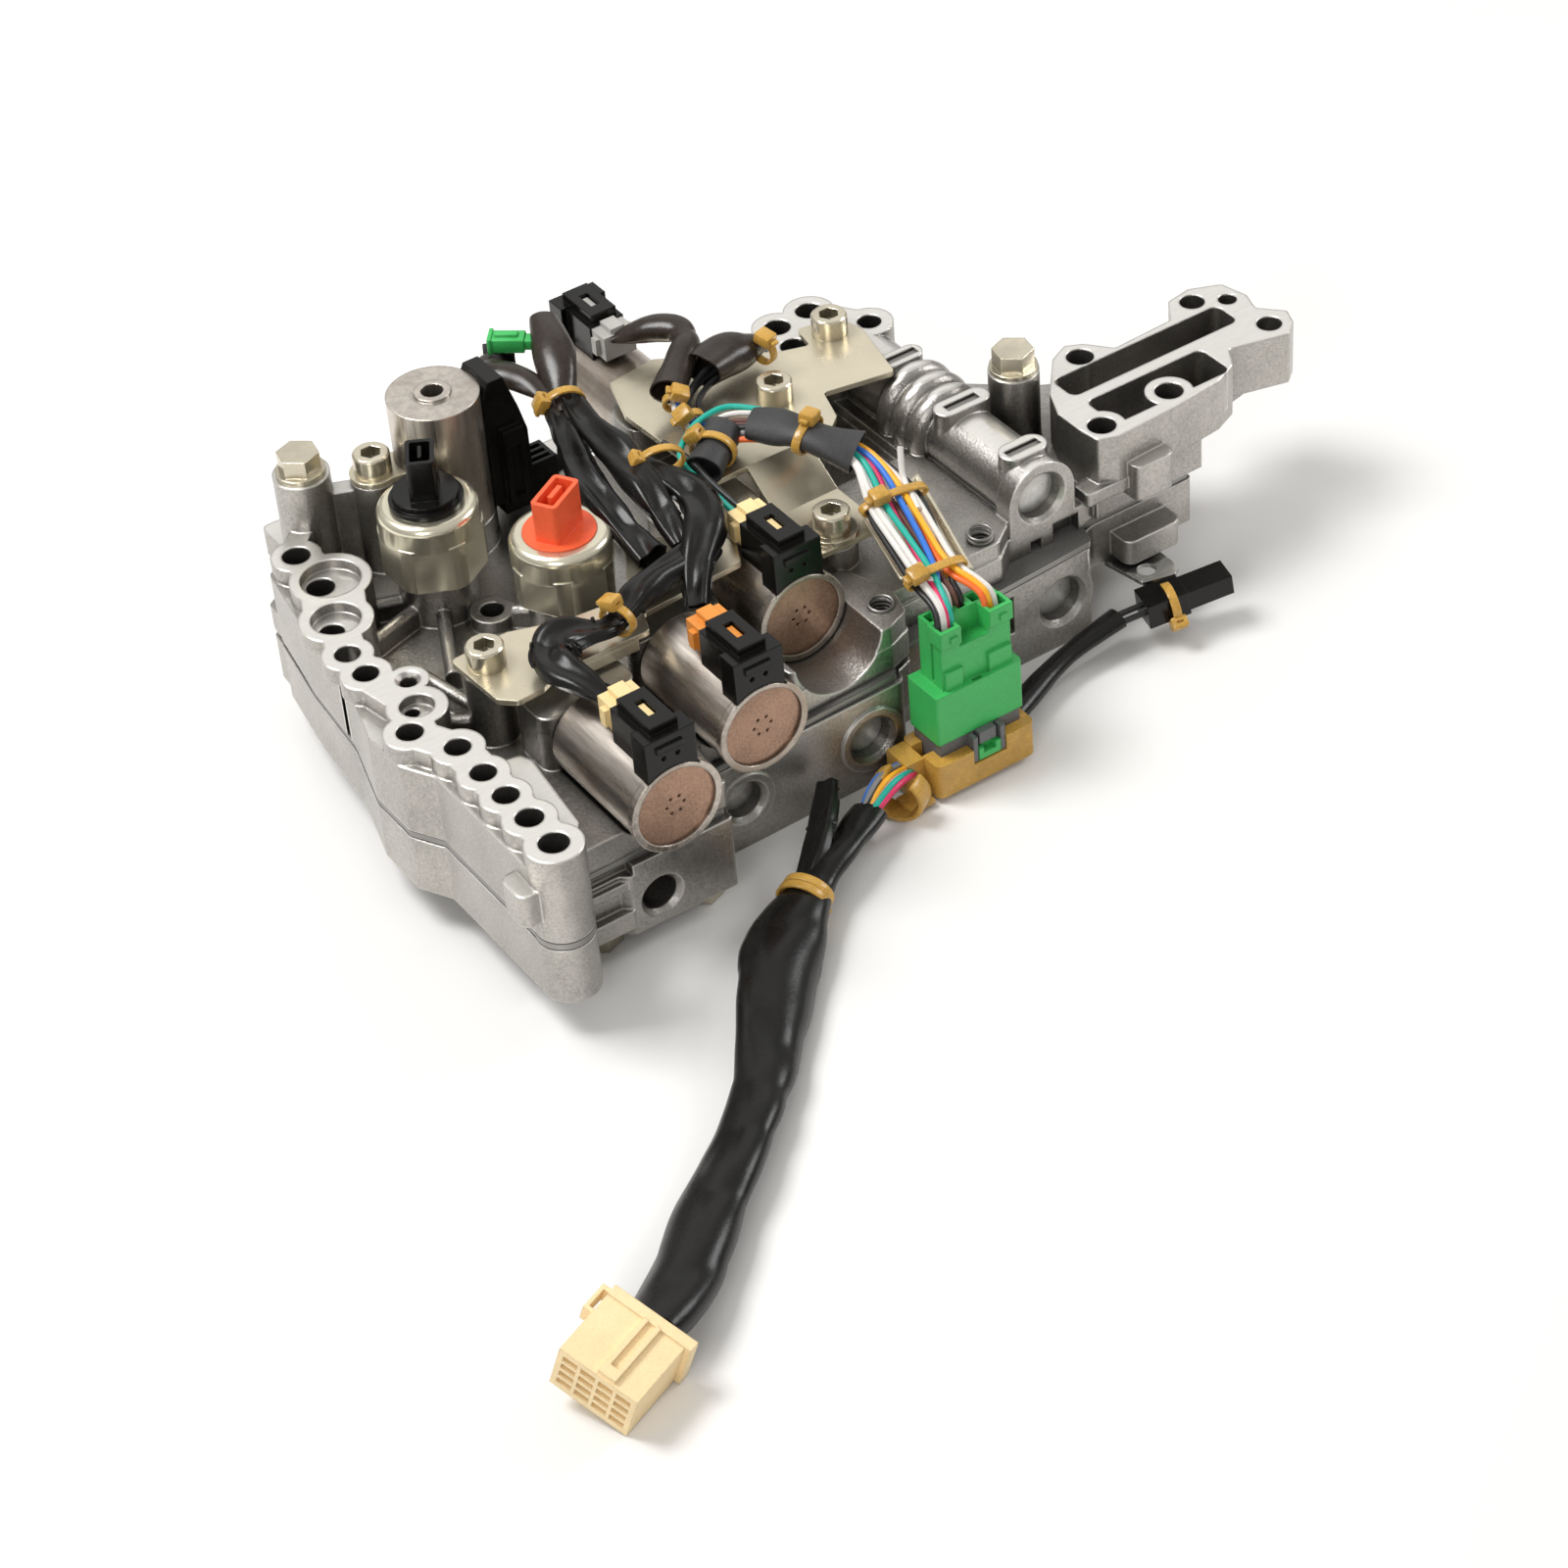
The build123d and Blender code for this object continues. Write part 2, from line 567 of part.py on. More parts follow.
# Manual valve: a spool whose front end is drawn by the selector
with BuildPart() as manual_valve:
    mx, my, mr, depth = low_bores[0]
    post(front(my + 12.0, mx, low_bore_z), spool_neck_r, -66.0)
    for land_y, land in ((my + 12.0, 10.0), (my + 34.0, 12.0), (my + 60.0, 18.0)):
        post(front(land_y, mx, low_bore_z), mr - slide_fit, -land)
    with BuildSketch(front(my + 15.0, mx, low_bore_z)) as groove:
        Circle(mr + 1.0)
        Circle(mr - 1.6, mode=Mode.SUBTRACT)
    extrude(groove.sketch, amount=-3.4, mode=Mode.SUBTRACT)
manual_valve.part.label = "manual_valve"


def spool(bx, by, bz, br, start, length, lands):
    """A three-land spool from y = by + start; each land is a place and a width."""
    with BuildPart() as made:
        y0 = by + start
        post(front(y0, bx, bz), spool_neck_r, -length)
        for at, wide in lands:
            post(front(y0 + at, bx, bz), br - slide_fit, -wide)
    return made.part


def spring(bx, by, bz, br, start, length):
    """The tube that the coils of a valve spring fill."""
    with BuildPart() as made:
        post(front(by + start, bx, bz), br - 0.6, -length)
        post(front(by + start, bx, bz), br - 2.0, -length, Mode.SUBTRACT)
    return made.part


def plug(bx, by, bz, br, start, length, waist):
    """A bore plug with a waist that its retainer key sits in."""
    with BuildPart() as made:
        post(front(by + start, bx, bz), br - slide_fit, -length)
        with BuildSketch(front(by + waist, bx, bz)):
            Circle(br + 1.0)
            Circle(br - 2.4, mode=Mode.SUBTRACT)
        extrude(amount=-(key_w + 0.4), mode=Mode.SUBTRACT)
    return made.part


def key(bx, by, bz, br, y0, top):
    """A forked flat key that straddles the waist of a plug."""
    with BuildPart() as made:
        w = 2 * (br - 1.2) - 0.4
        block(bx - w / 2, bx + w / 2, y0 + 0.2, y0 + 0.2 + key_w, bz - 2.8, top)
        block(bx - br + 2.2, bx + br - 2.2, y0, y0 + key_w + 0.6, bz - 4.0, bz + br - 2.1, Mode.SUBTRACT)
    return made.part


valve_parts = {}
bore_plugs = []
for name, (bx, by, br, depth) in zip(("a", "b", "c"), low_bores[1:]):
    length = depth - 38.05
    lands = ((0.0, 8.0), (length * 0.45, 9.0), (length - 10.0, 8.0))
    valve_parts["valve_spool_" + name] = spool(bx, by, low_bore_z, br, 38.0, length, lands)
    valve_parts["valve_spring_" + name] = spring(bx, by, low_bore_z, br, 18.0, 19.9)
    bore_plugs.append(plug(bx, by, low_bore_z, br, 5.0, 12.9, low_waist))
high_bore = (high_bore_x, high_bore_y, high_bore_z, high_bore_r)
lands = ((0.0, 4.5), (14.0, 14.0), (42.0, 9.9))
valve_parts["valve_spool_d"] = spool(*high_bore, 27.0, high_bore_depth - 27.05, lands)
valve_parts["valve_spring_d"] = spring(*high_bore, 14.8, 12.1)
bore_plugs.append(plug(*high_bore, 4.2, 10.5, high_waist))
for name, made in valve_parts.items():
    made.label = name

retainer_keys = []
for bx, by, br, depth in low_bores[1:]:
    retainer_keys.append(key(bx, by, low_bore_z, br, by + low_waist - 0.2, seam_z - 1.0))
key_top = high_bore_z + housing_r + 0.6
for key_y in key_seats:
    retainer_keys.append(key(high_bore_x, key_y, high_bore_z, high_bore_r, key_y - 1.6, key_top))


# Solenoid: a drawn can with a crimped rim, lying on its side
def can(face, s, x, y, z):
    """A can with its rim at y, its axis towards s times Y."""
    with BuildPart() as made:
        post(face(y, x, z), rim_r, -rim_w)
        post(face(y, x, z), can_r, -can_len)
        post(face(y, x, z), can_r - can_wall, -(cap_t + 0.9), Mode.SUBTRACT)
        post(face(y + s * (can_len - 1.5), x, z), nozzle_r, -1.5, Mode.SUBTRACT)
        with BuildSketch(face(y, x, z)) as notch:
            with Locations((0, rim_r - 1.5)):
                Rectangle(15.2, 6.0)
            Circle(can_r, mode=Mode.SUBTRACT)
        extrude(notch.sketch, amount=-rim_w, mode=Mode.SUBTRACT)
    return made.part


def end_cap(face, s, x, y, z):
    """The disc under the crimp, with six small holes."""
    with BuildPart() as made:
        post(face(y + s * 0.9, x, z), can_r - can_wall, -cap_t)
        with BuildSketch(face(y + s * 0.9, x, z)) as holes:
            with PolarLocations(2.5, 6):
                Circle(0.45)
        extrude(holes.sketch, amount=-0.8, mode=Mode.SUBTRACT)
    return made.part


def nozzle(face, s, x, y, z):
    """The nose that plugs into the casting, with a groove for its seal."""
    with BuildPart() as made:
        y0 = y + s * (can_len - 1.5)
        post(face(y0, x, z), nozzle_r, -(nozzle_len + 1.5))
        with BuildSketch(face(y0 + s * 6.0, x, z)) as groove:
            Circle(nozzle_r + 1)
            Circle(nozzle_r - 1.1, mode=Mode.SUBTRACT)
        extrude(groove.sketch, amount=-2.2, mode=Mode.SUBTRACT)
    return made.part


def connector(face, s, x, y, z):
    """The moulded two-way connector on top of a can."""
    with BuildPart() as made:
        y0, y1 = sorted((y + s * 0.3, y + s * 6.6))
        block(x - 7.2, x + 7.2, y0, y1, z + 9.0, z + 22.4)
        y0, y1 = sorted((y + s * 6.6, y + s * 18.5))
        block(x - 5.4, x + 5.4, y0, y1, z + 9.0, z + 21.8)
        y0, y1 = sorted((y + s * 2.6, y + s * 17.4))
        block(x - 4.0, x + 4.0, y0, y1, z + 21.8, z + 24.6)
        with BuildSketch(face(y - s * 1.0, x, z)) as round_under:
            Circle(can_r + 0.02)
        extrude(round_under.sketch, amount=-22.0, mode=Mode.SUBTRACT)
        y0, y1 = sorted((y + s * 6.8, y + s * 18.5))
        block(x - 4.3, x + 4.3, y0, y1, z + 14.6, z + 20.0, Mode.SUBTRACT)
        y0, y1 = sorted((y + s * 7.0, y + s * 13.4))
        block(x - 1.3, x + 1.3, y0, y1, z + 19.5, z + 25.0, Mode.SUBTRACT)
        # ribbed bar and the two probe holes of the end face
        y0, y1 = sorted((y + s * 0.3, y - s * 0.3))
        block(x - 4.2, x + 3.4, y0, y1, z + 18.2, z + 20.0)
        for hole_x in (-2.2, 1.8):
            post(face(y - s * 0.5, x + s * hole_x, z + 16.0), 0.7, -1.6, Mode.SUBTRACT)
    return made.part


def plug_in(s, x, y, z):
    """The coloured plug that ends a branch of the harness."""
    with BuildPart() as made:
        y0, y1 = sorted((y + s * 7.0, y + s * 18.5))
        block(x - 4.1, x + 4.1, y0, y1, z + 14.8, z + 19.8)
        y0, y1 = sorted((y + s * 7.4, y + s * 13.0))
        block(x - 1.0, x + 1.0, y0, y1, z + 19.8, z + 23.6)
        y0, y1 = sorted((y + s * 18.5, y + s * 25.0))
        block(x - 4.9, x + 4.9, y0, y1, z + 14.0, z + 21.4)
        y0, y1 = sorted((y + s * 20.0, y + s * 22.4))
        block(x - 6.2, x + 6.2, y0, y1, z + 15.0, z + 20.0)
        y0, y1 = sorted((y + s * 18.8, y + s * 24.4))
        block(x - 2.2, x + 2.2, y0, y1, z + 21.4, z + 23.0)
    return made.part


lying = [(front, 1, x, y, front_axis_z) for x, y in front_solenoids]
lying.append((back, -1, rear_x, rear_cap_y, front_axis_z))
solenoid_parts = {}
places = ("front_left", "front_middle", "front_right", "rear")
plugs = ("left", "middle", "right", "rear")
for place, plug_name, spot in zip(places, plugs, lying):
    solenoid_parts["solenoid_can_" + place] = can(*spot)
    solenoid_parts["solenoid_connector_" + place] = connector(*spot)
    solenoid_parts["harness_plug_" + plug_name] = plug_in(*spot[1:])

# Upright solenoid: a can with its core showing at the top and a tall side connector
with BuildPart() as upright_can:
    post(up(47.5, upright_x, upright_y), can_r, upright_top - 47.5)
    post(up(upright_top, upright_x, upright_y), 4.9, 0.8)
    post(up(upright_top - 9.0, upright_x, upright_y), 3.0, 10.0, Mode.SUBTRACT)
    post(up(47.5, upright_x, upright_y), nozzle_r, -nozzle_len)
solenoid_parts["solenoid_can_upright"] = upright_can.part
with BuildPart() as upright_connector:
    block(-63.9, -54.6, 46.5, 59.0, 44.0, 48.0)
    block(-66.8, -54.6, 46.5, 59.0, 48.0, 68.0)
    with BuildSketch(front(46.5)) as slope:
        with BuildLine():
            Polyline(
                (-66.8, 68.0), (-54.6, 68.0), (-56.6, 76.0), (-60.0, 86.6),
                (-64.6, 86.6), (-66.8, 82.0), close=True,
            )
        make_face()
    extrude(slope.sketch, amount=-12.5)
    post(up(48.0, upright_x, upright_y), can_r + 0.02, 40.0, Mode.SUBTRACT)
    block(-54.6, -46.4, 47.5, 56.5, 43.5, 55.0)
    block(-63.0, -57.0, 44.2, 46.5, 48.0, 71.0)
    block(-61.6, -58.4, 44.2, 45.2, 50.0, 66.0, Mode.SUBTRACT)
    for slot_y in (48.6, 51.2, 53.8):
        block(-53.4, -47.6, slot_y, slot_y + 1.5, 51.0, 55.0, Mode.SUBTRACT)
solenoid_parts["solenoid_connector_upright"] = upright_connector.part
for name, made in solenoid_parts.items():
    made.label = name

# Pressure switches: a hexagon body with a rolled collar, and a moulded insert
switch_parts = {}
# collar height, insert radius and height, tower half sides, height and turn, turn of the hexagon
switch_looks = [
    (71.6, 8.7, 75.0, 3.8, 5.5, 87.0, -30.0, 31.5, "black"),
    (69.2, 9.6, 69.6, 6.8, 3.7, 81.3, 30.0, -1.0, "orange"),
]
for (sx, sy), look in zip(switches, switch_looks):
    collar_z, insert_r, insert_z, tx, ty, top, tower_turn, hex_turn, colour = look
    with BuildPart() as switch_body:
        post(up(collar_z - 8.0, sx, sy), switch_r - 0.3, 8.0)
        fillet(switch_body.faces().sort_by(Axis.Z)[-1].edges(), 2.4)
        with BuildSketch(up(switch_foot_z, sx, sy)) as hexagon:
            RegularPolygon(switch_hex / 2, 6, major_radius=False, rotation=hex_turn)
            Circle(switch_r, mode=Mode.INTERSECT)
        extrude(hexagon.sketch, amount=collar_z - 7.0 - switch_foot_z)
        post(up(collar_z - 6.0, sx, sy), insert_r + 0.05, 6.0, Mode.SUBTRACT)
        post(up(switch_foot_z - 7.5, sx, sy), 4.97, 7.5)
    with BuildPart() as switch_insert:
        post(up(collar_z - 6.0, sx, sy), insert_r, insert_z - collar_z + 6.0)
        if insert_z > collar_z + 1.0:
            post(up(collar_z, sx, sy), insert_r + 1.1, 1.6)
        with BuildSketch(up(insert_z, sx, sy)) as tower:
            RectangleRounded(2 * tx, 2 * ty, 1.2, rotation=tower_turn)
        extrude(tower.sketch, amount=top - insert_z)
        with BuildSketch(up(top - 8.0, sx, sy)) as well:
            RectangleRounded(2 * tx - 2.4, 2 * ty - 2.4, 0.6, rotation=tower_turn)
            blade = (max(1.0, 2 * tx - 8.0), max(1.0, 2 * ty - 6.0))
            Rectangle(*blade, rotation=tower_turn, mode=Mode.SUBTRACT)
        extrude(well.sketch, amount=8.0, mode=Mode.SUBTRACT)
    switch_parts["switch_body_" + colour] = switch_body.part
    switch_parts["switch_insert_" + colour] = switch_insert.part
for name, made in switch_parts.items():
    made.label = name

# Pressed steel brackets
with BuildPart() as bracket_left:
    left_sheet = [
        (-117.0, -16.5), (-116.0, -37.0), (-112.0, -41.0), (-104.5, -40.6), (-98.0, -37.4), (-71.5, -37.8),
        (-69.0, -31.0), (-38.0, -29.0), (-34.8, -22.0), (-36.4, -11.0), (-50.0, -6.0), (-56.5, -1.5),
        (-60.0, -9.0), (-66.0, -18.2), (-74.0, -22.0), (-86.0, -20.9), (-100.0, -15.6),
    ]
    slab(left_sheet, bracket_z, bracket_z + bracket_t, r=1.6)
    bar(-96.0, -37.0, -75.0, -37.2, 1.2, bracket_z - 3.0, bracket_z)
    post(up(bracket_z - 3.0, *switches[1]), switch_r + 1.0, bracket_t + 3.0, Mode.SUBTRACT)
    post(up(bracket_z, *socket_bolts[0][:2]), bolt_hole_r, bracket_t, Mode.SUBTRACT)
bracket_left.part.label = "bracket_left"

with BuildPart() as bracket_rear:
    rear_sheet = [
        (23.1, 42.7), (31.0, 40.0), (32.5, 48.5), (44.5, 46.5), (46.5, 37.2), (41.5, 15.2), (21.0, 19.2),
        (17.5, 8.0), (13.0, 4.2), (-24.0, 4.2), (-26.0, 44.5), (-21.0, 60.2), (-6.0, 62.0),
    ]
    slab(rear_sheet, bracket_z, bracket_z + bracket_t, r=1.2)
    with BuildSketch(Plane.YZ.offset(-14.0)) as step:
        with BuildLine():
            Polyline(
                (4.2, bracket_z + bracket_t), (4.2, bracket_z), (-9.4, step_z), (-30.0, step_z),
                (-30.0, step_z + bracket_t), (-9.0, step_z + bracket_t), close=True,
            )
        make_face()
    extrude(step.sketch, amount=19.4)
    for bx, by, seat in socket_bolts[2:]:
        post(up(step_z, bx, by), bolt_hole_r, bracket_z + bracket_t - step_z, Mode.SUBTRACT)
bracket_rear.part.label = "bracket_rear"

with BuildPart() as harness_tray:
    tray_sheet = [(9.0, -24.0), (22.0, -22.0), (11.5, -60.0), (8.0, -64.0), (-2.0, -58.0), (-5.0, -52.0)]
    slab(tray_sheet, 50.0, 51.2, r=1.2)
    slab([(-4.9, -52.0), (-1.9, -57.6), (-0.9, -57.1), (-3.9, -51.6)], 51.2, 52.6)
    slab([(20.6, -22.3), (21.9, -22.1), (11.4, -60.0), (10.2, -60.0)], 51.2, 52.6)
    block(11.0, 17.0, -30.0, -24.0, pad_z, 50.0)
harness_tray.part.label = "harness_tray"

# Fasteners
socket_screws = []
for bx, by, seat in socket_bolts:
    with BuildPart() as screw:
        post(up(seat, bx, by), socket_head_r, socket_head_h)
        chamfer(screw.faces().sort_by(Axis.Z)[-1].edges(), 0.5)
        with BuildSketch(up(seat + socket_head_h, bx, by)) as key_hole:
            RegularPolygon(2.5, 6, major_radius=False)
        extrude(key_hole.sketch, amount=-3.2, mode=Mode.SUBTRACT)
        post(up(seat, bx, by), bolt_r, -top_bolt_len)
    socket_screws.append(screw.part)
with BuildPart() as flange_washer:
    wx, wy, seat = socket_bolts[2]
    post(up(seat - washer_t, wx, wy), 6.8, washer_t)
    post(up(seat - washer_t, wx, wy), bolt_hole_r, washer_t, Mode.SUBTRACT)
flange_washer.part.label = "flange_washer"


def hex_bolt(bx, by, seat, s, length, head_h):
    """A flanged hexagon bolt whose head stands off its seat towards s times Z."""
    with BuildPart() as made:
        post(up(seat, bx, by), hex_flange_r, s * 1.4)
        with BuildSketch(up(seat, bx, by)) as hexagon:
            RegularPolygon(hex_af / 2, 6, major_radius=False, rotation=20.0)
        extrude(hexagon.sketch, amount=s * head_h)
        post(up(seat, bx, by), bolt_r, -s * length)
    return made.part


hex_screws = [hex_bolt(bx, by, seat, 1, top_bolt_len, hex_head_h) for bx, by, seat in flange_bolts]
under_top = upper_z + 6.4
under_screws = [hex_bolt(bx, by, seat, -1, under_top - seat, under_head_h) for bx, by, seat in under_bolts]

with BuildPart() as solenoid_keeper:
    kx, ky, seat = socket_bolts[1]
    bar(kx, ky, upright_x, upright_y, 11.0, seat - bracket_t, seat)
    post(up(seat - bracket_t, kx, ky), 6.4, bracket_t)
    post(up(seat - bracket_t, kx, ky), bolt_hole_r, bracket_t, Mode.SUBTRACT)
    post(up(seat - bracket_t, upright_x, upright_y), can_r + 0.02, bracket_t, Mode.SUBTRACT)
solenoid_keeper.part.label = "solenoid_keeper"


def route(points, name):
    """A path of straight runs and tangent arcs, with the largest arcs the runs allow."""
    corners = [Vector(*p) for p in points]
    radii = []
    for a, b, c in zip(corners, corners[1:], corners[2:]):
        turn = math.radians((b - a).get_angle(c - b))
        shorter = min((b - a).length, (c - b).length)
        radii.append(0.45 * shorter / math.tan(turn / 2))
    print(name, "radii", [round(r, 1) for r in radii])
    return corners, radii


def tube(points, r, name):
    """A round tube along a route."""
    corners, radii = route(points, name)
    with BuildPart() as made:
        with BuildLine() as path:
            FilletPolyline(*corners, radius=radii)
        with BuildSketch(Plane(origin=corners[0], z_dir=corners[1] - corners[0])) as section:
            Circle(r)
        sweep(section.sketch, path=path.line)
    length = sum(piece.length for piece in path.edges())
    share = made.part.volume / (math.pi * r * r * length)
    print(name, "length", round(length, 1), "volume share", round(share, 4))
    return made.part


# Harness: sleeves that the ties and brackets hold on top of the castings
cord_parts = {}
sleeve_r = 3.6
main_sleeve_r = 4.8
left_plug_y = front_solenoids[0][1] + 25.0
middle_plug_y = front_solenoids[1][1] + 25.0
right_plug_y = front_solenoids[2][1] + 25.0
rear_plug_y = rear_cap_y - 25.0
plug_z = front_axis_z + 17.8
long_branch = [
    (-56.5, 68.6, 77.0),
    (-49.0, 62.0, 76.0),
    (-48.6, 46.0, 71.5),
    (-50.6, 30.0, 69.5),
    (-52.6, 12.0, 68.5),
    (-56.8, -7.0, 67.0),
    (-66.0, -24.0, 65.6),
    (-78.5, -33.5, 65.0),
    (-90.0, -38.0, 64.6),
    (-95.6, -47.0, 64.0),
    (front_solenoids[0][0], left_plug_y, plug_z),
]
middle_branch = [
    (-30.2, 73.0, 77.0),
    (-38.0, 55.0, 73.0),
    (-41.5, 38.0, 70.5),
    (-42.4, 20.0, 69.0),
    (-43.6, 2.0, 67.6),
    (-47.0, -15.0, 66.0),
    (-54.4, -30.0, 64.0),
    (-60.0, -39.0, 63.0),
    (front_solenoids[1][0], middle_plug_y, plug_z),
]
rear_branch = [
    (rear_x, rear_plug_y, plug_z),
    (-10.2, 60.5, 66.0),
    (-4.5, 53.0, 69.0),
    (-6.5, 43.0, 69.0),
    (-14.5, 36.0, 68.0),
    (-19.5, 27.0, 67.0),
]
pair_r = 1.6
right_branch = [
    (-6.5, 20.5, 64.6),
    (-17.0, 21.0, 66.4),
    (-26.0, 15.0, 66.8),
    (-29.6, 5.0, 65.4),
    (-29.4, -6.0, 63.4),
    (front_solenoids[2][0], right_plug_y, plug_z),
]
main_sleeve = [(-9.0, 24.5, 67.8), (-2.0, 14.0, 67.4), (4.5, 2.0, 66.4), (12.0, -13.0, 64.0)]
cord_parts["branch_left"] = tube(long_branch, sleeve_r, "branch_left")
cord_parts["branch_middle"] = tube(middle_branch, sleeve_r, "branch_middle")
cord_parts["branch_rear"] = tube(rear_branch, sleeve_r, "branch_rear")
cord_parts["branch_right"] = tube(right_branch, pair_r, "branch_right")
cord_parts["main_sleeve"] = tube(main_sleeve, main_sleeve_r, "main_sleeve")

# Flat bundle of single wires from the sleeve down over the tray to the green connector
with BuildPart() as wire_ribbon:
    fall = Plane(origin=(12.0, -13.0, 0.0), x_dir=(-0.25, -0.968, 0.0), z_dir=(-0.968, 0.25, 0.0))
    with BuildSketch(fall) as side:
        with BuildLine():
            Polyline(
                (0.4, 62.2), (18.0, 58.4), (43.0, 54.6), (55.0, 51.0), (58.0, 50.6),
                (62.0, 50.6), (60.5, 53.0), (44.0, 58.6), (18.5, 62.6), (0.4, 66.4), close=True,
            )
        make_face()
    extrude(side.sketch, amount=7.0, both=True)
wire_ribbon.part.label = "wire_ribbon"

# Green connector pair with its grey base, and the amber holder that it stands in
with BuildPart() as green_connector:
    block(-9.5, 12.2, -75.0, -65.5, 32.0, 50.6)
    # two raised ends at the top with a nub on each, and the pads over the shoulder
    for x0, x1, nub_x in ((-9.9, -3.6, -7.2), (5.4, 12.6, 8.4)):
        block(x0, x1, -75.9, -70.0, 45.4, 50.6)
        block(nub_x, nub_x + 2.2, -76.4, -75.9, 46.8, 48.4)
    for x0, x1 in ((-9.0, -3.6), (4.6, 11.8)):
        block(x0, x1, -75.9, -75.0, 32.0, 37.6)
    block(-3.6, 5.4, -76.0, -70.2, 43.6, 50.6, Mode.SUBTRACT)
    for cell_x in (-8.6, -4.2, 0.2, 4.6, 9.0):
        block(cell_x, cell_x + 2.4, -69.6, -66.4, 44.0, 50.6, Mode.SUBTRACT)
    for x0, x1 in ((-8.9, -4.6), (6.4, 11.6)):
        block(x0, x1, -74.6, -71.0, 44.0, 50.6, Mode.SUBTRACT)
    block(-9.6, -8.9, -71.4, -70.4, 33.0, 45.0, Mode.SUBTRACT)
    block(-13.0, 14.0, -77.0, -64.0, 16.6, 32.0, r=0.8)
    block(-1.0, 1.8, -76.4, -75.4, 28.0, 32.0, Mode.SUBTRACT)
    # latch at the foot, with its window
    block(-2.4, 4.4, -79.8, -76.4, 8.6, 12.2)
    block(-0.9, 2.9, -79.9, -77.6, 10.4, 12.3, Mode.SUBTRACT)
green_connector.part.label = "green_connector"
with BuildPart() as connector_base:
    block(-12.0, 13.0, -76.4, -64.6, 8.0, 16.6)
    # two ears and the bridge over the latch
    for ear_x in (-4.0, 4.6):
        block(ear_x, ear_x + 1.4, -79.6, -76.4, 8.4, 16.2)
    block(-1.6, 3.6, -79.0, -76.4, 13.0, 16.6)
connector_base.part.label = "connector_base"
with BuildPart() as connector_holder:
    block(-15.5, 15.5, -79.9, -63.4, 2.0, 12.5, r=2.0)
    block(-12.2, 13.2, -76.6, -64.4, 8.0, 12.5, Mode.SUBTRACT)
    block(-4.2, 6.2, -80.0, -76.0, 8.0, 12.5, Mode.SUBTRACT)
    block(-16.0, -11.0, -73.0, -68.0, 8.0, 12.5, Mode.SUBTRACT)
    block(-21.0, -15.5, -73.5, -64.5, 2.6, 12.0)
connector_holder.part.label = "connector_holder"

# Tail of the harness, loose on the surface, with its many-way connector
tail_r = 6.6
tail = [
    (-21.0, -69.0, 7.3),
    (-33.5, -78.0, 9.4),
    (-48.0, -85.8, 9.8),
    (-62.5, -92.2, 8.8),
    (-74.6, -99.4, 7.6),
    (-85.0, -108.8, 7.0),
    (-94.4, -120.5, 7.0),
    (-105.6, -134.6, 7.0),
    (-120.1, -149.4, 7.0),
    (-135.5, -161.2, 7.0),
    (-150.5, -173.2, 7.0),
    (-164.0, -186.0, 7.8),
    (-178.1, -193.5, 10.3),
]
cord_parts["tail_cord"] = tube(tail, tail_r, "tail_cord")
# The many-way connector lies rolled onto one edge
tail_w = 21.2
tail_h = 14.1
tail_len = 21.3
tail_roll = math.radians(18.6)
tail_way = Vector(-1, 0, 0).rotate(Axis.Z, 22.4)
tail_side = Vector(-tail_way.Y, tail_way.X, 0) * math.cos(tail_roll) - Vector(0, 0, math.sin(tail_roll))
tail_plane = Plane(origin=Vector(*tail[-1]), x_dir=tail_side, z_dir=tail_way)


def tail_block(x0, x1, y0, y1, z0, z1, mode=Mode.ADD):
    """A block in the connector's own axes: across, up and along from the sleeve."""
    with BuildSketch(tail_plane.offset(z0)) as face:
        with Locations(((x0 + x1) / 2, (y0 + y1) / 2)):
            Rectangle(x1 - x0, y1 - y0)
    extrude(face.sketch, amount=z1 - z0, mode=mode)


with BuildPart() as tail_connector:
    tail_block(-tail_w / 2, tail_w / 2, -tail_h / 2, tail_h / 2, 0.0, tail_len)
    tail_block(-tail_w / 2, tail_w / 2 + 1.6, -6.4, tail_h / 2 + 0.5, 0.0, 3.0)
    # side loop
    tail_block(-13.2, -tail_w / 2, 1.5, 6.0, 0.6, 8.6)
    tail_block(-12.2, -tail_w / 2, 1.0, 6.5, 1.8, 7.4, Mode.SUBTRACT)
    # latch arm of two rails that join at the front
    for rail_x in (-0.7, 2.7):
        tail_block(rail_x, rail_x + 1.3, tail_h / 2, tail_h / 2 + 1.1, 3.0, tail_len - 0.6)
    tail_block(-0.7, 4.0, tail_h / 2, tail_h / 2 + 1.1, tail_len - 3.6, tail_len - 0.6)
    # four by four cells of the mating face
    with BuildSketch(tail_plane.offset(tail_len)) as cells:
        with GridLocations(4.8, 2.9, 4, 4):
            Rectangle(3.8, 1.8)
    extrude(cells.sketch, amount=-1.6, mode=Mode.SUBTRACT)
cord_parts["tail_connector"] = tail_connector.part

# Short lead to the two-way connector at the right front
lead_r = 2.2
lead = [
    (16.5, -68.0, 6.0),
    (26.0, -63.5, 6.0),
    (36.0, -59.8, 6.8),
    (47.0, -57.2, 8.0),
    (58.0, -56.2, 9.4),
    (67.3, -58.6, 10.6),
]
cord_parts["lead_cord"] = tube(lead, lead_r, "lead_cord")
lead_end = Vector(*lead[-1])
lead_way = (lead_end - Vector(*lead[-2])).normalized()
lead_plane = Plane(origin=lead_end, x_dir=(-lead_way.Y, lead_way.X, 0), z_dir=lead_way)
with BuildPart() as lead_connector:
    with BuildSketch(lead_plane) as body:
        Rectangle(9.0, 7.4)
    extrude(body.sketch, amount=12.0)
    with BuildSketch(lead_plane.offset(12.0)) as nose:
        Rectangle(7.6, 6.0)
    extrude(nose.sketch, amount=13.0)
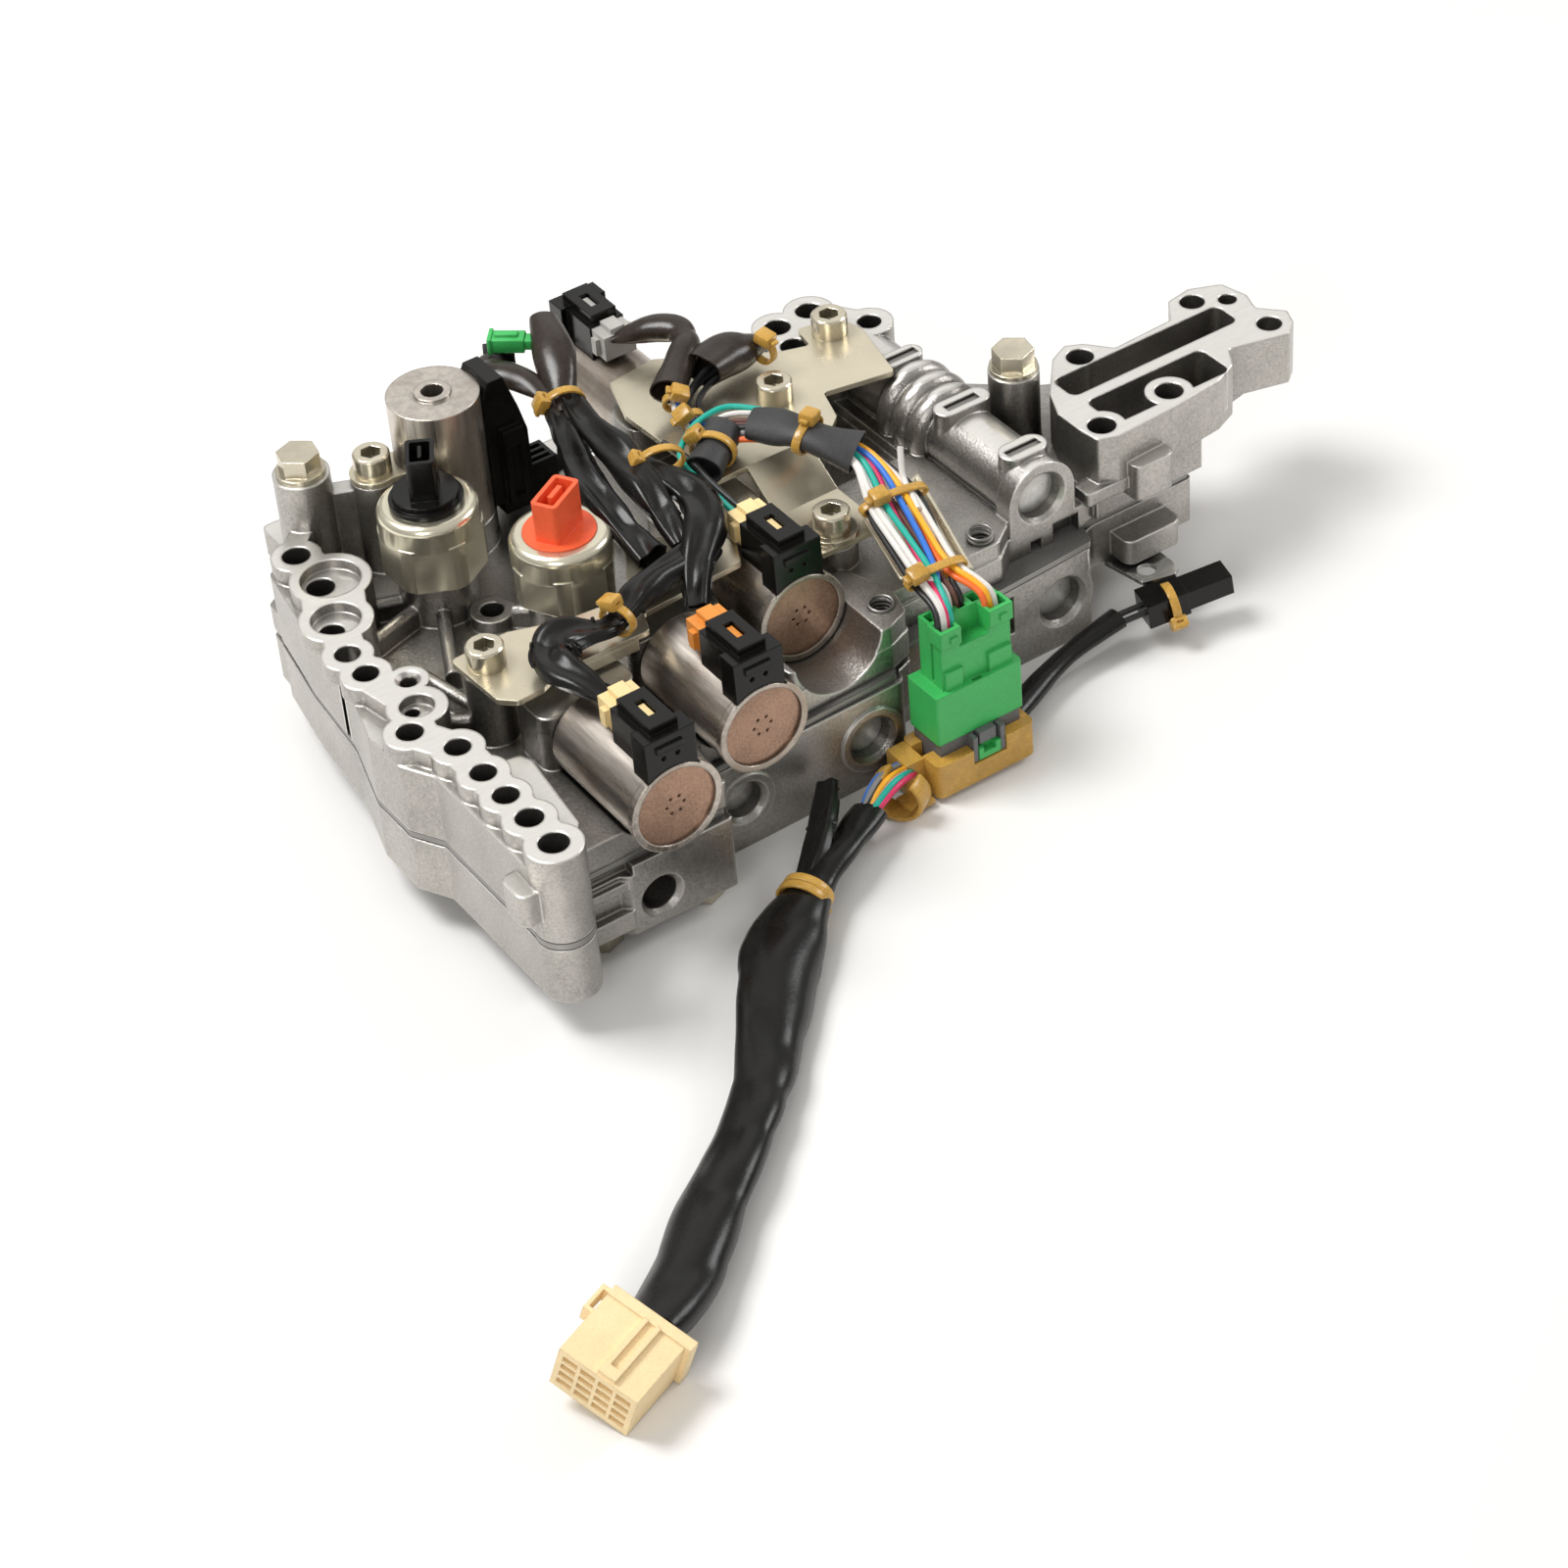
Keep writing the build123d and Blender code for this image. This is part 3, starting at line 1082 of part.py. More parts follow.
cord_parts["lead_connector"] = lead_connector.part
for name, made in cord_parts.items():
    made.label = name

# Bright tab under the casting, beside the connector of the short lead
tab_z = right_foot_z - 1.2
with BuildPart() as lead_tab:
    slab([(69.5, -38.0), (84.0, -38.0), (84.0, -53.5), (81.0, -55.5), (72.0, -53.0)], tab_z, right_foot_z, r=1.5)
    post(up(tab_z, 76.3, -49.0), 2.6, 1.2, Mode.SUBTRACT)
lead_tab.part.label = "lead_tab"


def tie(points, n, share, r):
    """A tie band around run n of a route, with its square lock on top."""
    a, b = Vector(*points[n]), Vector(*points[n + 1])
    way = (b - a).normalized()
    spot = a + (b - a) * share
    with BuildPart() as made:
        band = Plane(origin=spot - way * 1.3, x_dir=(-way.Y, way.X, 0), z_dir=way)
        with BuildSketch(band) as ring:
            Circle(r + 1.1)
            with Locations((0, r + 1.6)):
                Rectangle(4.6, 3.4)
            Circle(r + 0.02, mode=Mode.SUBTRACT)
        extrude(ring.sketch, amount=2.6)
    return made.part


cable_ties = [
    tie(long_branch, 1, 0.5, sleeve_r),
    tie(long_branch, 4, 0.5, sleeve_r),
    tie(middle_branch, 2, 0.5, sleeve_r),
    tie(middle_branch, 4, 0.5, sleeve_r),
    tie(main_sleeve, 1, 0.5, main_sleeve_r),
]

# Export: one file for each physical piece, like fasteners together
singles = {
    "upper_body": upper_body.part,
    "lower_body": lower_body.part,
    "separator_plate": separator_plate,
    "upper_gasket": upper_gasket,
    "lower_gasket": lower_gasket,
    "dowel_pins": dowel_pins.part,
    "manual_valve": manual_valve.part,
    "solenoid_keeper": solenoid_keeper.part,
    "bracket_left": bracket_left.part,
    "bracket_rear": bracket_rear.part,
    "harness_tray": harness_tray.part,
    "flange_washer": flange_washer.part,
    "wire_ribbon": wire_ribbon.part,
    "green_connector": green_connector.part,
    "connector_base": connector_base.part,
    "connector_holder": connector_holder.part,
    "lead_tab": lead_tab.part,
}
singles.update(valve_parts)
singles.update(solenoid_parts)
singles.update(switch_parts)
singles.update(cord_parts)
groups = {
    "socket_bolts": socket_screws,
    "flange_bolts": hex_screws,
    "underside_bolts": under_screws,
    "retainer_keys": retainer_keys,
    "bore_plugs": bore_plugs,
    "cable_ties": cable_ties,
    "solenoid_end_caps": [end_cap(*spot) for spot in lying],
    "solenoid_nozzles": [nozzle(*spot) for spot in lying],
}
os.makedirs("parts", exist_ok=True)
for name, made in singles.items():
    export_step(made, "parts/" + name + ".step")
for name, solids in groups.items():
    export_step(Compound(label=name, children=solids), "parts/" + name + ".step")
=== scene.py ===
"""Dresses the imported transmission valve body: finishes, harness, moulded details, floor, light and camera."""

import json
import math
import random

import bpy
from bpy.props import FloatProperty, FloatVectorProperty, IntProperty, PointerProperty
from mathutils import Matrix, Vector


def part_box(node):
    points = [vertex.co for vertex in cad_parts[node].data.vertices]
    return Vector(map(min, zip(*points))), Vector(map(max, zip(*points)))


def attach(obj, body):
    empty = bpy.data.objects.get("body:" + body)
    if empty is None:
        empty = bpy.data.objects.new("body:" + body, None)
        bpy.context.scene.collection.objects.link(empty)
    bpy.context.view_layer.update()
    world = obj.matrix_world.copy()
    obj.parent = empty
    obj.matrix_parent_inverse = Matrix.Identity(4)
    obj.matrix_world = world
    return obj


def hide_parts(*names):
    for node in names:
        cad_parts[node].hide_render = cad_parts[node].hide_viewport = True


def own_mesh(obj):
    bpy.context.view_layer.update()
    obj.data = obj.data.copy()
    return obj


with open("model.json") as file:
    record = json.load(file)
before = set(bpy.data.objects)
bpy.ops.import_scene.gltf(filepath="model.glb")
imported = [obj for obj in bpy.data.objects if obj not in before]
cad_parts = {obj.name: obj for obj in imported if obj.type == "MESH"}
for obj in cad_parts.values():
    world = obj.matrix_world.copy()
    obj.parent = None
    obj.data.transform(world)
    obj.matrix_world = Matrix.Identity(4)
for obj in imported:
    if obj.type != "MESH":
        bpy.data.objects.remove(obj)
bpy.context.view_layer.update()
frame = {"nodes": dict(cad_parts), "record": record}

bl_info = {
    "name": "Transmission valve body",
    "version": (1, 0, 0),
    "blender": (4, 5, 0),
    "location": "3D View > Sidebar > Valve body",
    "description": "Finishes, harness and moulded details of a transmission valve body",
    "category": "Object",
}

MM = 0.001
BODY = "housing"

# Distance below which points of a swept piece are one, in metres
WELD = 0.00001

# Height from which level faces of the casting are milled, in metres
MILLED_FROM = 0.0452


# Settings


class SleeveSettings(bpy.types.PropertyGroup):
    """Sizes of the harness."""

    wire: FloatProperty(name="Wire", description="Diameter of a single wire", default=0.0017, unit="LENGTH")
    wall: FloatProperty(
        name="Wall", description="Thickness of the vinyl sleeves", default=0.0005, unit="LENGTH"
    )
    wrinkle: FloatProperty(
        name="Wrinkle", description="Height of the folds of the sleeves", default=0.0020, unit="LENGTH"
    )
    tail_width: FloatProperty(
        name="Tail width", description="Flat width of the loose tail", default=0.0185, unit="LENGTH"
    )
    tail_height: FloatProperty(
        name="Tail height", description="Height of the loose tail", default=0.0110, unit="LENGTH"
    )
    seed: IntProperty(name="Seed", description="Start of the random draws", default=7)


class FinishSettings(bpy.types.PropertyGroup):
    """Colours of the finishes."""

    casting: FloatVectorProperty(
        name="Casting", description="Colour of the cast skin", subtype="COLOR", size=3,
        default=(0.46, 0.44, 0.41),
    )
    machined: FloatVectorProperty(
        name="Machined faces", description="Colour of the milled faces", subtype="COLOR", size=3,
        default=(0.86, 0.84, 0.79),
    )
    can: FloatVectorProperty(
        name="Solenoid cans", description="Colour of the drawn cans", subtype="COLOR", size=3,
        default=(0.50, 0.45, 0.40),
    )
    zinc: FloatVectorProperty(
        name="Zinc", description="Colour of the plated sheets", subtype="COLOR", size=3,
        default=(0.76, 0.69, 0.53),
    )
    bolt: FloatVectorProperty(
        name="Bolts", description="Colour of the plated bolts", subtype="COLOR", size=3,
        default=(0.72, 0.66, 0.52),
    )
    vinyl: FloatVectorProperty(
        name="Vinyl", description="Colour of the black sleeves", subtype="COLOR", size=3,
        default=(0.007, 0.0065, 0.006),
    )
    green: FloatVectorProperty(
        name="Green", description="Colour of the green connector", subtype="COLOR", size=3,
        default=(0.040, 0.42, 0.095),
    )
    orange: FloatVectorProperty(
        name="Orange", description="Colour of the orange insert", subtype="COLOR", size=3,
        default=(0.86, 0.115, 0.035),
    )
    cream: FloatVectorProperty(
        name="Cream", description="Colour of the cream connector", subtype="COLOR", size=3,
        default=(0.86, 0.67, 0.38),
    )
    amber: FloatVectorProperty(
        name="Amber", description="Colour of the nylon ties", subtype="COLOR", size=3,
        default=(0.50, 0.285, 0.055),
    )


class StageSettings(bpy.types.PropertyGroup):
    """Camera, floor and light."""

    azimuth: FloatProperty(
        name="Azimuth",
        description="Turn of the camera round the object",
        default=math.radians(-31.15),
        subtype="ANGLE",
    )
    elevation: FloatProperty(
        name="Elevation",
        description="Height of the camera above the horizon",
        default=math.radians(40.1),
        subtype="ANGLE",
    )
    roll: FloatProperty(
        name="Roll", description="Turn of the picture", default=math.radians(5.0), subtype="ANGLE"
    )
    lens: FloatProperty(
        name="Lens", description="Focal length on a 36 mm sensor, in millimetres", default=94.5
    )
    place: FloatVectorProperty(
        name="Camera place", description="Where the camera stands", size=3,
        default=(-0.466137, -0.748726, 0.690426), subtype="TRANSLATION",
    )
    floor: FloatVectorProperty(
        name="Floor", description="Colour of the floor", subtype="COLOR", size=3, default=(0.80, 0.79, 0.775)
    )
    key: FloatProperty(name="Key", description="Power of the main soft light in watts", default=17.0)
    fill: FloatProperty(name="Fill", description="Power of the fill lights in watts", default=4.2)
    back: FloatProperty(
        name="Back", description="Power of the light behind, which level faces mirror, in watts", default=2.0
    )
    sky: FloatProperty(name="Sky", description="Strength of the light from all around", default=0.5)


# Shader nodes


def add_node(tree, kind, props=None, **values):
    """A node with its properties and its plain inputs; an underscore in a name stands for a space."""
    node = tree.nodes.new(kind)
    for key, value in (props or {}).items():
        setattr(node, key, value)
    for key, value in values.items():
        node.inputs[key.replace("_", " ")].default_value = value
    return node


def new_group(name, ins, outs):
    """An empty shader group with the given inputs and outputs."""
    group = bpy.data.node_groups.new(name, "ShaderNodeTree")
    for label, kind, value in ins:
        socket = group.interface.new_socket(name=label, in_out="INPUT", socket_type=kind)
        socket.default_value = value
    for label, kind in outs:
        group.interface.new_socket(name=label, in_out="OUTPUT", socket_type=kind)
    return group, group.nodes.new("NodeGroupInput"), group.nodes.new("NodeGroupOutput")


def mottle_group():
    """Soft patches and fine grain, both from 0 to 1, and a height made of the two."""
    group, inp, out = new_group(
        "Mottle",
        [
            ("Patch scale", "NodeSocketFloat", 60.0), ("Grain scale", "NodeSocketFloat", 900.0),
            ("Grain share", "NodeSocketFloat", 0.5),
        ],
        [("Patch", "NodeSocketFloat"), ("Grain", "NodeSocketFloat"), ("Height", "NodeSocketFloat")],
    )
    coords = add_node(group, "ShaderNodeTexCoord")
    patch = add_node(group, "ShaderNodeTexNoise", Detail=4.0, Roughness=0.6)
    grain = add_node(group, "ShaderNodeTexNoise", Detail=3.0, Roughness=0.65)
    height = add_node(group, "ShaderNodeMix")
    link = group.links.new
    link(coords.outputs["Object"], patch.inputs["Vector"])
    link(coords.outputs["Object"], grain.inputs["Vector"])
    link(inp.outputs["Patch scale"], patch.inputs["Scale"])
    link(inp.outputs["Grain scale"], grain.inputs["Scale"])
    link(inp.outputs["Grain share"], height.inputs["Factor"])
    link(patch.outputs["Fac"], height.inputs["A"])
    link(grain.outputs["Fac"], height.inputs["B"])
    link(patch.outputs["Fac"], out.inputs["Patch"])
    link(grain.outputs["Fac"], out.inputs["Grain"])
    link(height.outputs["Result"], out.inputs["Height"])


def stroke_group():
    """Fine strokes along one axis, as rolling, drawing or milling leaves, from 0 to 1."""
    group, inp, out = new_group(
        "Strokes",
        [("Stretch", "NodeSocketVector", (1.0, 1.0, 1.0)), ("Scale", "NodeSocketFloat", 400.0)],
        [("Lines", "NodeSocketFloat")],
    )
    coords = add_node(group, "ShaderNodeTexCoord")
    mapping = add_node(group, "ShaderNodeVectorMath", props={"operation": "MULTIPLY"})
    noise = add_node(group, "ShaderNodeTexNoise", Detail=3.0, Roughness=0.7)
    link = group.links.new
    link(coords.outputs["Object"], mapping.inputs[0])
    link(inp.outputs["Stretch"], mapping.inputs[1])
    link(mapping.outputs["Vector"], noise.inputs["Vector"])
    link(inp.outputs["Scale"], noise.inputs["Scale"])
    link(noise.outputs["Fac"], out.inputs["Lines"])


def milled_group():
    """1 on level faces above a height, 0 elsewhere."""
    group, inp, out = new_group(
        "Milled faces", [("Above", "NodeSocketFloat", MILLED_FROM)], [("Mask", "NodeSocketFloat")]
    )
    coords = add_node(group, "ShaderNodeTexCoord")
    place = add_node(group, "ShaderNodeSeparateXYZ")
    way = add_node(group, "ShaderNodeSeparateXYZ")
    high = add_node(group, "ShaderNodeMath", props={"operation": "GREATER_THAN"})
    level = add_node(group, "ShaderNodeMath", props={"operation": "GREATER_THAN"})
    level.inputs[1].default_value = 0.9
    both = add_node(group, "ShaderNodeMath", props={"operation": "MULTIPLY"})
    link = group.links.new
    link(coords.outputs["Object"], place.inputs[0])
    link(coords.outputs["Normal"], way.inputs[0])
    link(place.outputs["Z"], high.inputs[0])
    link(inp.outputs["Above"], high.inputs[1])
    link(way.outputs["Z"], level.inputs[0])
    link(high.outputs[0], both.inputs[0])
    link(level.outputs[0], both.inputs[1])
    link(both.outputs[0], out.inputs["Mask"])


def edge_light_and_shade_group():
    """Edge is 1 along the edges, where a painted highlight goes; Open falls to 0 in deep corners, where painted
    shade goes; Normal is rounded over the edges.
    """
    group, inp, out = new_group(
        "Wear",
        [("Radius", "NodeSocketFloat", 0.0006), ("Reach", "NodeSocketFloat", 0.01)],
        [("Edge", "NodeSocketFloat"), ("Open", "NodeSocketFloat"), ("Normal", "NodeSocketVector")],
    )
    place = add_node(group, "ShaderNodeNewGeometry")
    edge = add_node(group, "ShaderNodeBevel", props={"samples": 5})
    lean = add_node(group, "ShaderNodeVectorMath", props={"operation": "DOT_PRODUCT"})
    depth = add_node(group, "ShaderNodeAmbientOcclusion", props={"samples": 5})
    link = group.links.new
    link(inp.outputs["Radius"], edge.inputs["Radius"])
    link(inp.outputs["Reach"], depth.inputs["Distance"])
    link(place.outputs["Normal"], lean.inputs[0])
    link(edge.outputs["Normal"], lean.inputs[1])
    link(ramp(group, lean.outputs["Value"], 0.99, 0.85), out.inputs["Edge"])
    link(ramp(group, depth.outputs["AO"], 0.2, 0.9), out.inputs["Open"])
    link(edge.outputs["Normal"], out.inputs["Normal"])


def start_material(name):
    """A new material's tree and its shader; its name stands apart from those that come with the frame."""
    material = bpy.data.materials.new("finish_" + name)
    material.use_nodes = True
    tree = material.node_tree
    return tree, tree.nodes["Principled BSDF"]


def finish_of(name):
    """The finish of that name."""
    return bpy.data.materials["finish_" + name]


def use_group(tree, name, **values):
    """A shader group put to use in a material."""
    return add_node(tree, "ShaderNodeGroup", props={"node_tree": bpy.data.node_groups[name]}, **values)


def ramp(tree, source, low, high, floor=0.0, roof=1.0):
    """Stretches a value from low..high to floor..roof."""
    node = add_node(tree, "ShaderNodeMapRange")
    node.inputs["From Min"].default_value = low
    node.inputs["From Max"].default_value = high
    node.inputs["To Min"].default_value = floor
    node.inputs["To Max"].default_value = roof
    tree.links.new(source, node.inputs["Value"])
    return node.outputs["Result"]


def mix_colour(tree, factor, a, b):
    """Mixes two colours or sockets by a socket."""
    node = add_node(tree, "ShaderNodeMix", props={"data_type": "RGBA"})
    tree.links.new(factor, node.inputs["Factor"])
    for socket, value in ((node.inputs[6], a), (node.inputs[7], b)):
        if isinstance(value, bpy.types.NodeSocket):
            tree.links.new(value, socket)
        else:
            socket.default_value = (*value, 1.0)
    return node.outputs[2]


def tint(colour, factor):
    """A colour made lighter or darker."""
    return tuple(min(1.0, max(0.0, channel * factor)) for channel in colour)


def put_bump(tree, shader, height, strength, distance, rounding):
    """Feeds a height to the shader, over edges rounded by the given radius."""
    bump = add_node(tree, "ShaderNodeBump", Strength=strength, Distance=distance)
    tree.links.new(height, bump.inputs["Height"])
    if rounding:
        edge = add_node(tree, "ShaderNodeBevel", props={"samples": 5}, Radius=rounding)
        tree.links.new(edge.outputs["Normal"], bump.inputs["Normal"])
    tree.links.new(bump.outputs["Normal"], shader.inputs["Normal"])


def put_painted_light(tree, shader, colour, height, strength, distance, radius, reach, edge_highlight, corner_shade, corner_shade_share):
    """Paints a highlight along a metal's edges and shade into its corners, and gives it a bump over rounded
    edges.
    """
    shading = use_group(tree, "Wear", Radius=radius, Reach=reach)
    # Painted highlight: the colour is lighter along every edge, the inner corners too.
    edge_lit = mix_colour(tree, shading.outputs["Edge"], colour, edge_highlight)
    # Painted shade: the colour darkens towards the dark colour where ambient occlusion finds deep corners.
    unshaded = ramp(tree, shading.outputs["Open"], 0.0, 1.0, 1.0 - corner_shade_share, 1.0)
    tree.links.new(mix_colour(tree, unshaded, corner_shade, edge_lit), shader.inputs["Base Color"])
    bump = add_node(tree, "ShaderNodeBump", Strength=strength, Distance=distance)
    tree.links.new(height, bump.inputs["Height"])
    tree.links.new(shading.outputs["Normal"], bump.inputs["Normal"])
    tree.links.new(bump.outputs["Normal"], shader.inputs["Normal"])


def plain_finish(
    name, colour, rough, metal=0.0, patch=70.0, grain=1500.0, spread=0.15, bump=0.15, rounding=0.0, shine=0.5
):
    """A finish with soft patches in its colour and gloss and a fine grain."""
    tree, shader = start_material(name)
    mottle = use_group(tree, "Mottle", Patch_scale=patch, Grain_scale=grain)
    share = ramp(tree, mottle.outputs["Height"], 0.35, 0.65)
    colours = mix_colour(tree, share, tint(colour, 1.0 - spread), tint(colour, 1.0 + spread))
    tree.links.new(colours, shader.inputs["Base Color"])
    gloss = ramp(tree, mottle.outputs["Patch"], 0.3, 0.7, rough * 0.85, rough * 1.15)
    tree.links.new(gloss, shader.inputs["Roughness"])
    shader.inputs["Metallic"].default_value = metal
    shader.inputs["Specular IOR Level"].default_value = shine
    put_bump(tree, shader, mottle.outputs["Grain"], bump, 0.0002, rounding)
    return shader


def stroke_finish(
    name, colour, rough, metal, stretch, scale=500.0, spread=0.2, rounding=0.0, cloud=0.12, stain=None,
    bump=0.12, corner_shade=0.75,
):
    """A metal finish with fine strokes along one axis over soft clouds."""
    tree, shader = start_material(name)
    mottle = use_group(tree, "Mottle", Patch_scale=45.0)
    lines = use_group(tree, "Strokes", Stretch=stretch, Scale=scale)
    share = ramp(tree, lines.outputs["Lines"], 0.3, 0.7)
    streaks = mix_colour(tree, share, tint(colour, 1.0 - spread), tint(colour, 1.0 + spread))
    clouds = ramp(tree, mottle.outputs["Patch"], 0.45, 0.7)
    other = tint(colour, 1.0 - cloud) if stain is None else stain
    tree.links.new(mix_colour(tree, clouds, streaks, other), shader.inputs["Base Color"])
    gloss = ramp(tree, lines.outputs["Lines"], 0.3, 0.7, rough * 0.8, rough * 1.2)
    tree.links.new(gloss, shader.inputs["Roughness"])
    shader.inputs["Metallic"].default_value = metal
    cloudy = shader.inputs["Base Color"].links[0].from_socket
    # Painted highlight along the edges, a third lighter, and painted shade in the corners, nearly black.
    put_painted_light(
        tree, shader, cloudy, lines.outputs["Lines"], bump, 0.0001, rounding, 0.006, tint(colour, 1.35),
        tint(colour, 0.12), corner_shade,
    )


def casting_finish(cast, milled):
    """Cast skin with sand grain, and milled level faces at the top of the casting."""
    tree, shader = start_material("cast_aluminium")
    mottle = use_group(tree, "Mottle", Patch_scale=34.0, Grain_scale=1300.0)
    mask = use_group(tree, "Milled faces")
    lines = use_group(tree, "Strokes", Stretch=(0.25, 3.0, 1.0), Scale=700.0)
    skin = mix_colour(
        tree, ramp(tree, mottle.outputs["Height"], 0.36, 0.64), tint(cast, 0.68), tint(cast, 1.26)
    )
    face = mix_colour(
        tree, ramp(tree, lines.outputs["Lines"], 0.3, 0.7), tint(milled, 0.93), tint(milled, 1.05)
    )
    both = mix_colour(tree, mask.outputs["Mask"], skin, face)
    gloss = ramp(tree, mottle.outputs["Patch"], 0.3, 0.7, 0.25, 0.38)
    cut = add_node(tree, "ShaderNodeMix")
    tree.links.new(mask.outputs["Mask"], cut.inputs["Factor"])
    tree.links.new(gloss, cut.inputs["A"])
    cut.inputs["B"].default_value = 0.28
    tree.links.new(cut.outputs["Result"], shader.inputs["Roughness"])
    shader.inputs["Metallic"].default_value = 0.92
    rough_share = add_node(tree, "ShaderNodeMath", props={"operation": "MULTIPLY"})
    smooth = ramp(tree, mask.outputs["Mask"], 0.0, 1.0, 1.0, 0.06)
    tree.links.new(mottle.outputs["Height"], rough_share.inputs[0])
    tree.links.new(smooth, rough_share.inputs[1])
    # Painted highlight along the edges in the milled colour, and painted shade, near black, in the corners.
    put_painted_light(
        tree, shader, both, rough_share.outputs[0], 0.55, 0.0005, 0.0009, 0.014, tint(milled, 1.1),
        (0.05, 0.045, 0.038), 0.62,
    )


def amber_finish(name, colour):
    """Nylon that light shines through a little."""
    shader = plain_finish(name, colour, 0.26, patch=120.0, spread=0.25)
    shader.inputs["Subsurface Weight"].default_value = 0.12
    shader.inputs["Subsurface Radius"].default_value = (0.003, 0.0024, 0.0009)
    shader.inputs["Subsurface Scale"].default_value = 1.0


# Colours of the single wires
WIRES = {
    "wire_white": (0.72, 0.70, 0.66),
    "wire_black": (0.02, 0.02, 0.02),
    "wire_teal": (0.01, 0.40, 0.31),
    "wire_blue": (0.03, 0.17, 0.62),
    "wire_yellow": (0.92, 0.42, 0.02),
    "wire_orange": (0.90, 0.16, 0.03),
    "wire_pink": (0.68, 0.035, 0.13),
    "wire_rose": (0.75, 0.32, 0.40),
    "wire_brown": (0.13, 0.055, 0.04),
    "wire_grey": (0.22, 0.22, 0.22),
    "wire_green": (0.04, 0.26, 0.09),
}

# Slots of the record that take the finish of another one
SLOT_FINISH = {"spring_steel": "valve_alloy", "nozzle_plastic": "black_plastic"}

# Nodes that differ from their slot's finish
OWN_FINISH = {
    "harness_plug_left": "plug_cream",
    "harness_plug_middle": "plug_orange",
    "harness_plug_right": "plug_cream",
    "harness_plug_rear": "plug_grey",
    "solenoid_can_upright": "solenoid_upright",
    "switch_body_black": "zinc_body",
    "switch_body_orange": "zinc_body",
}


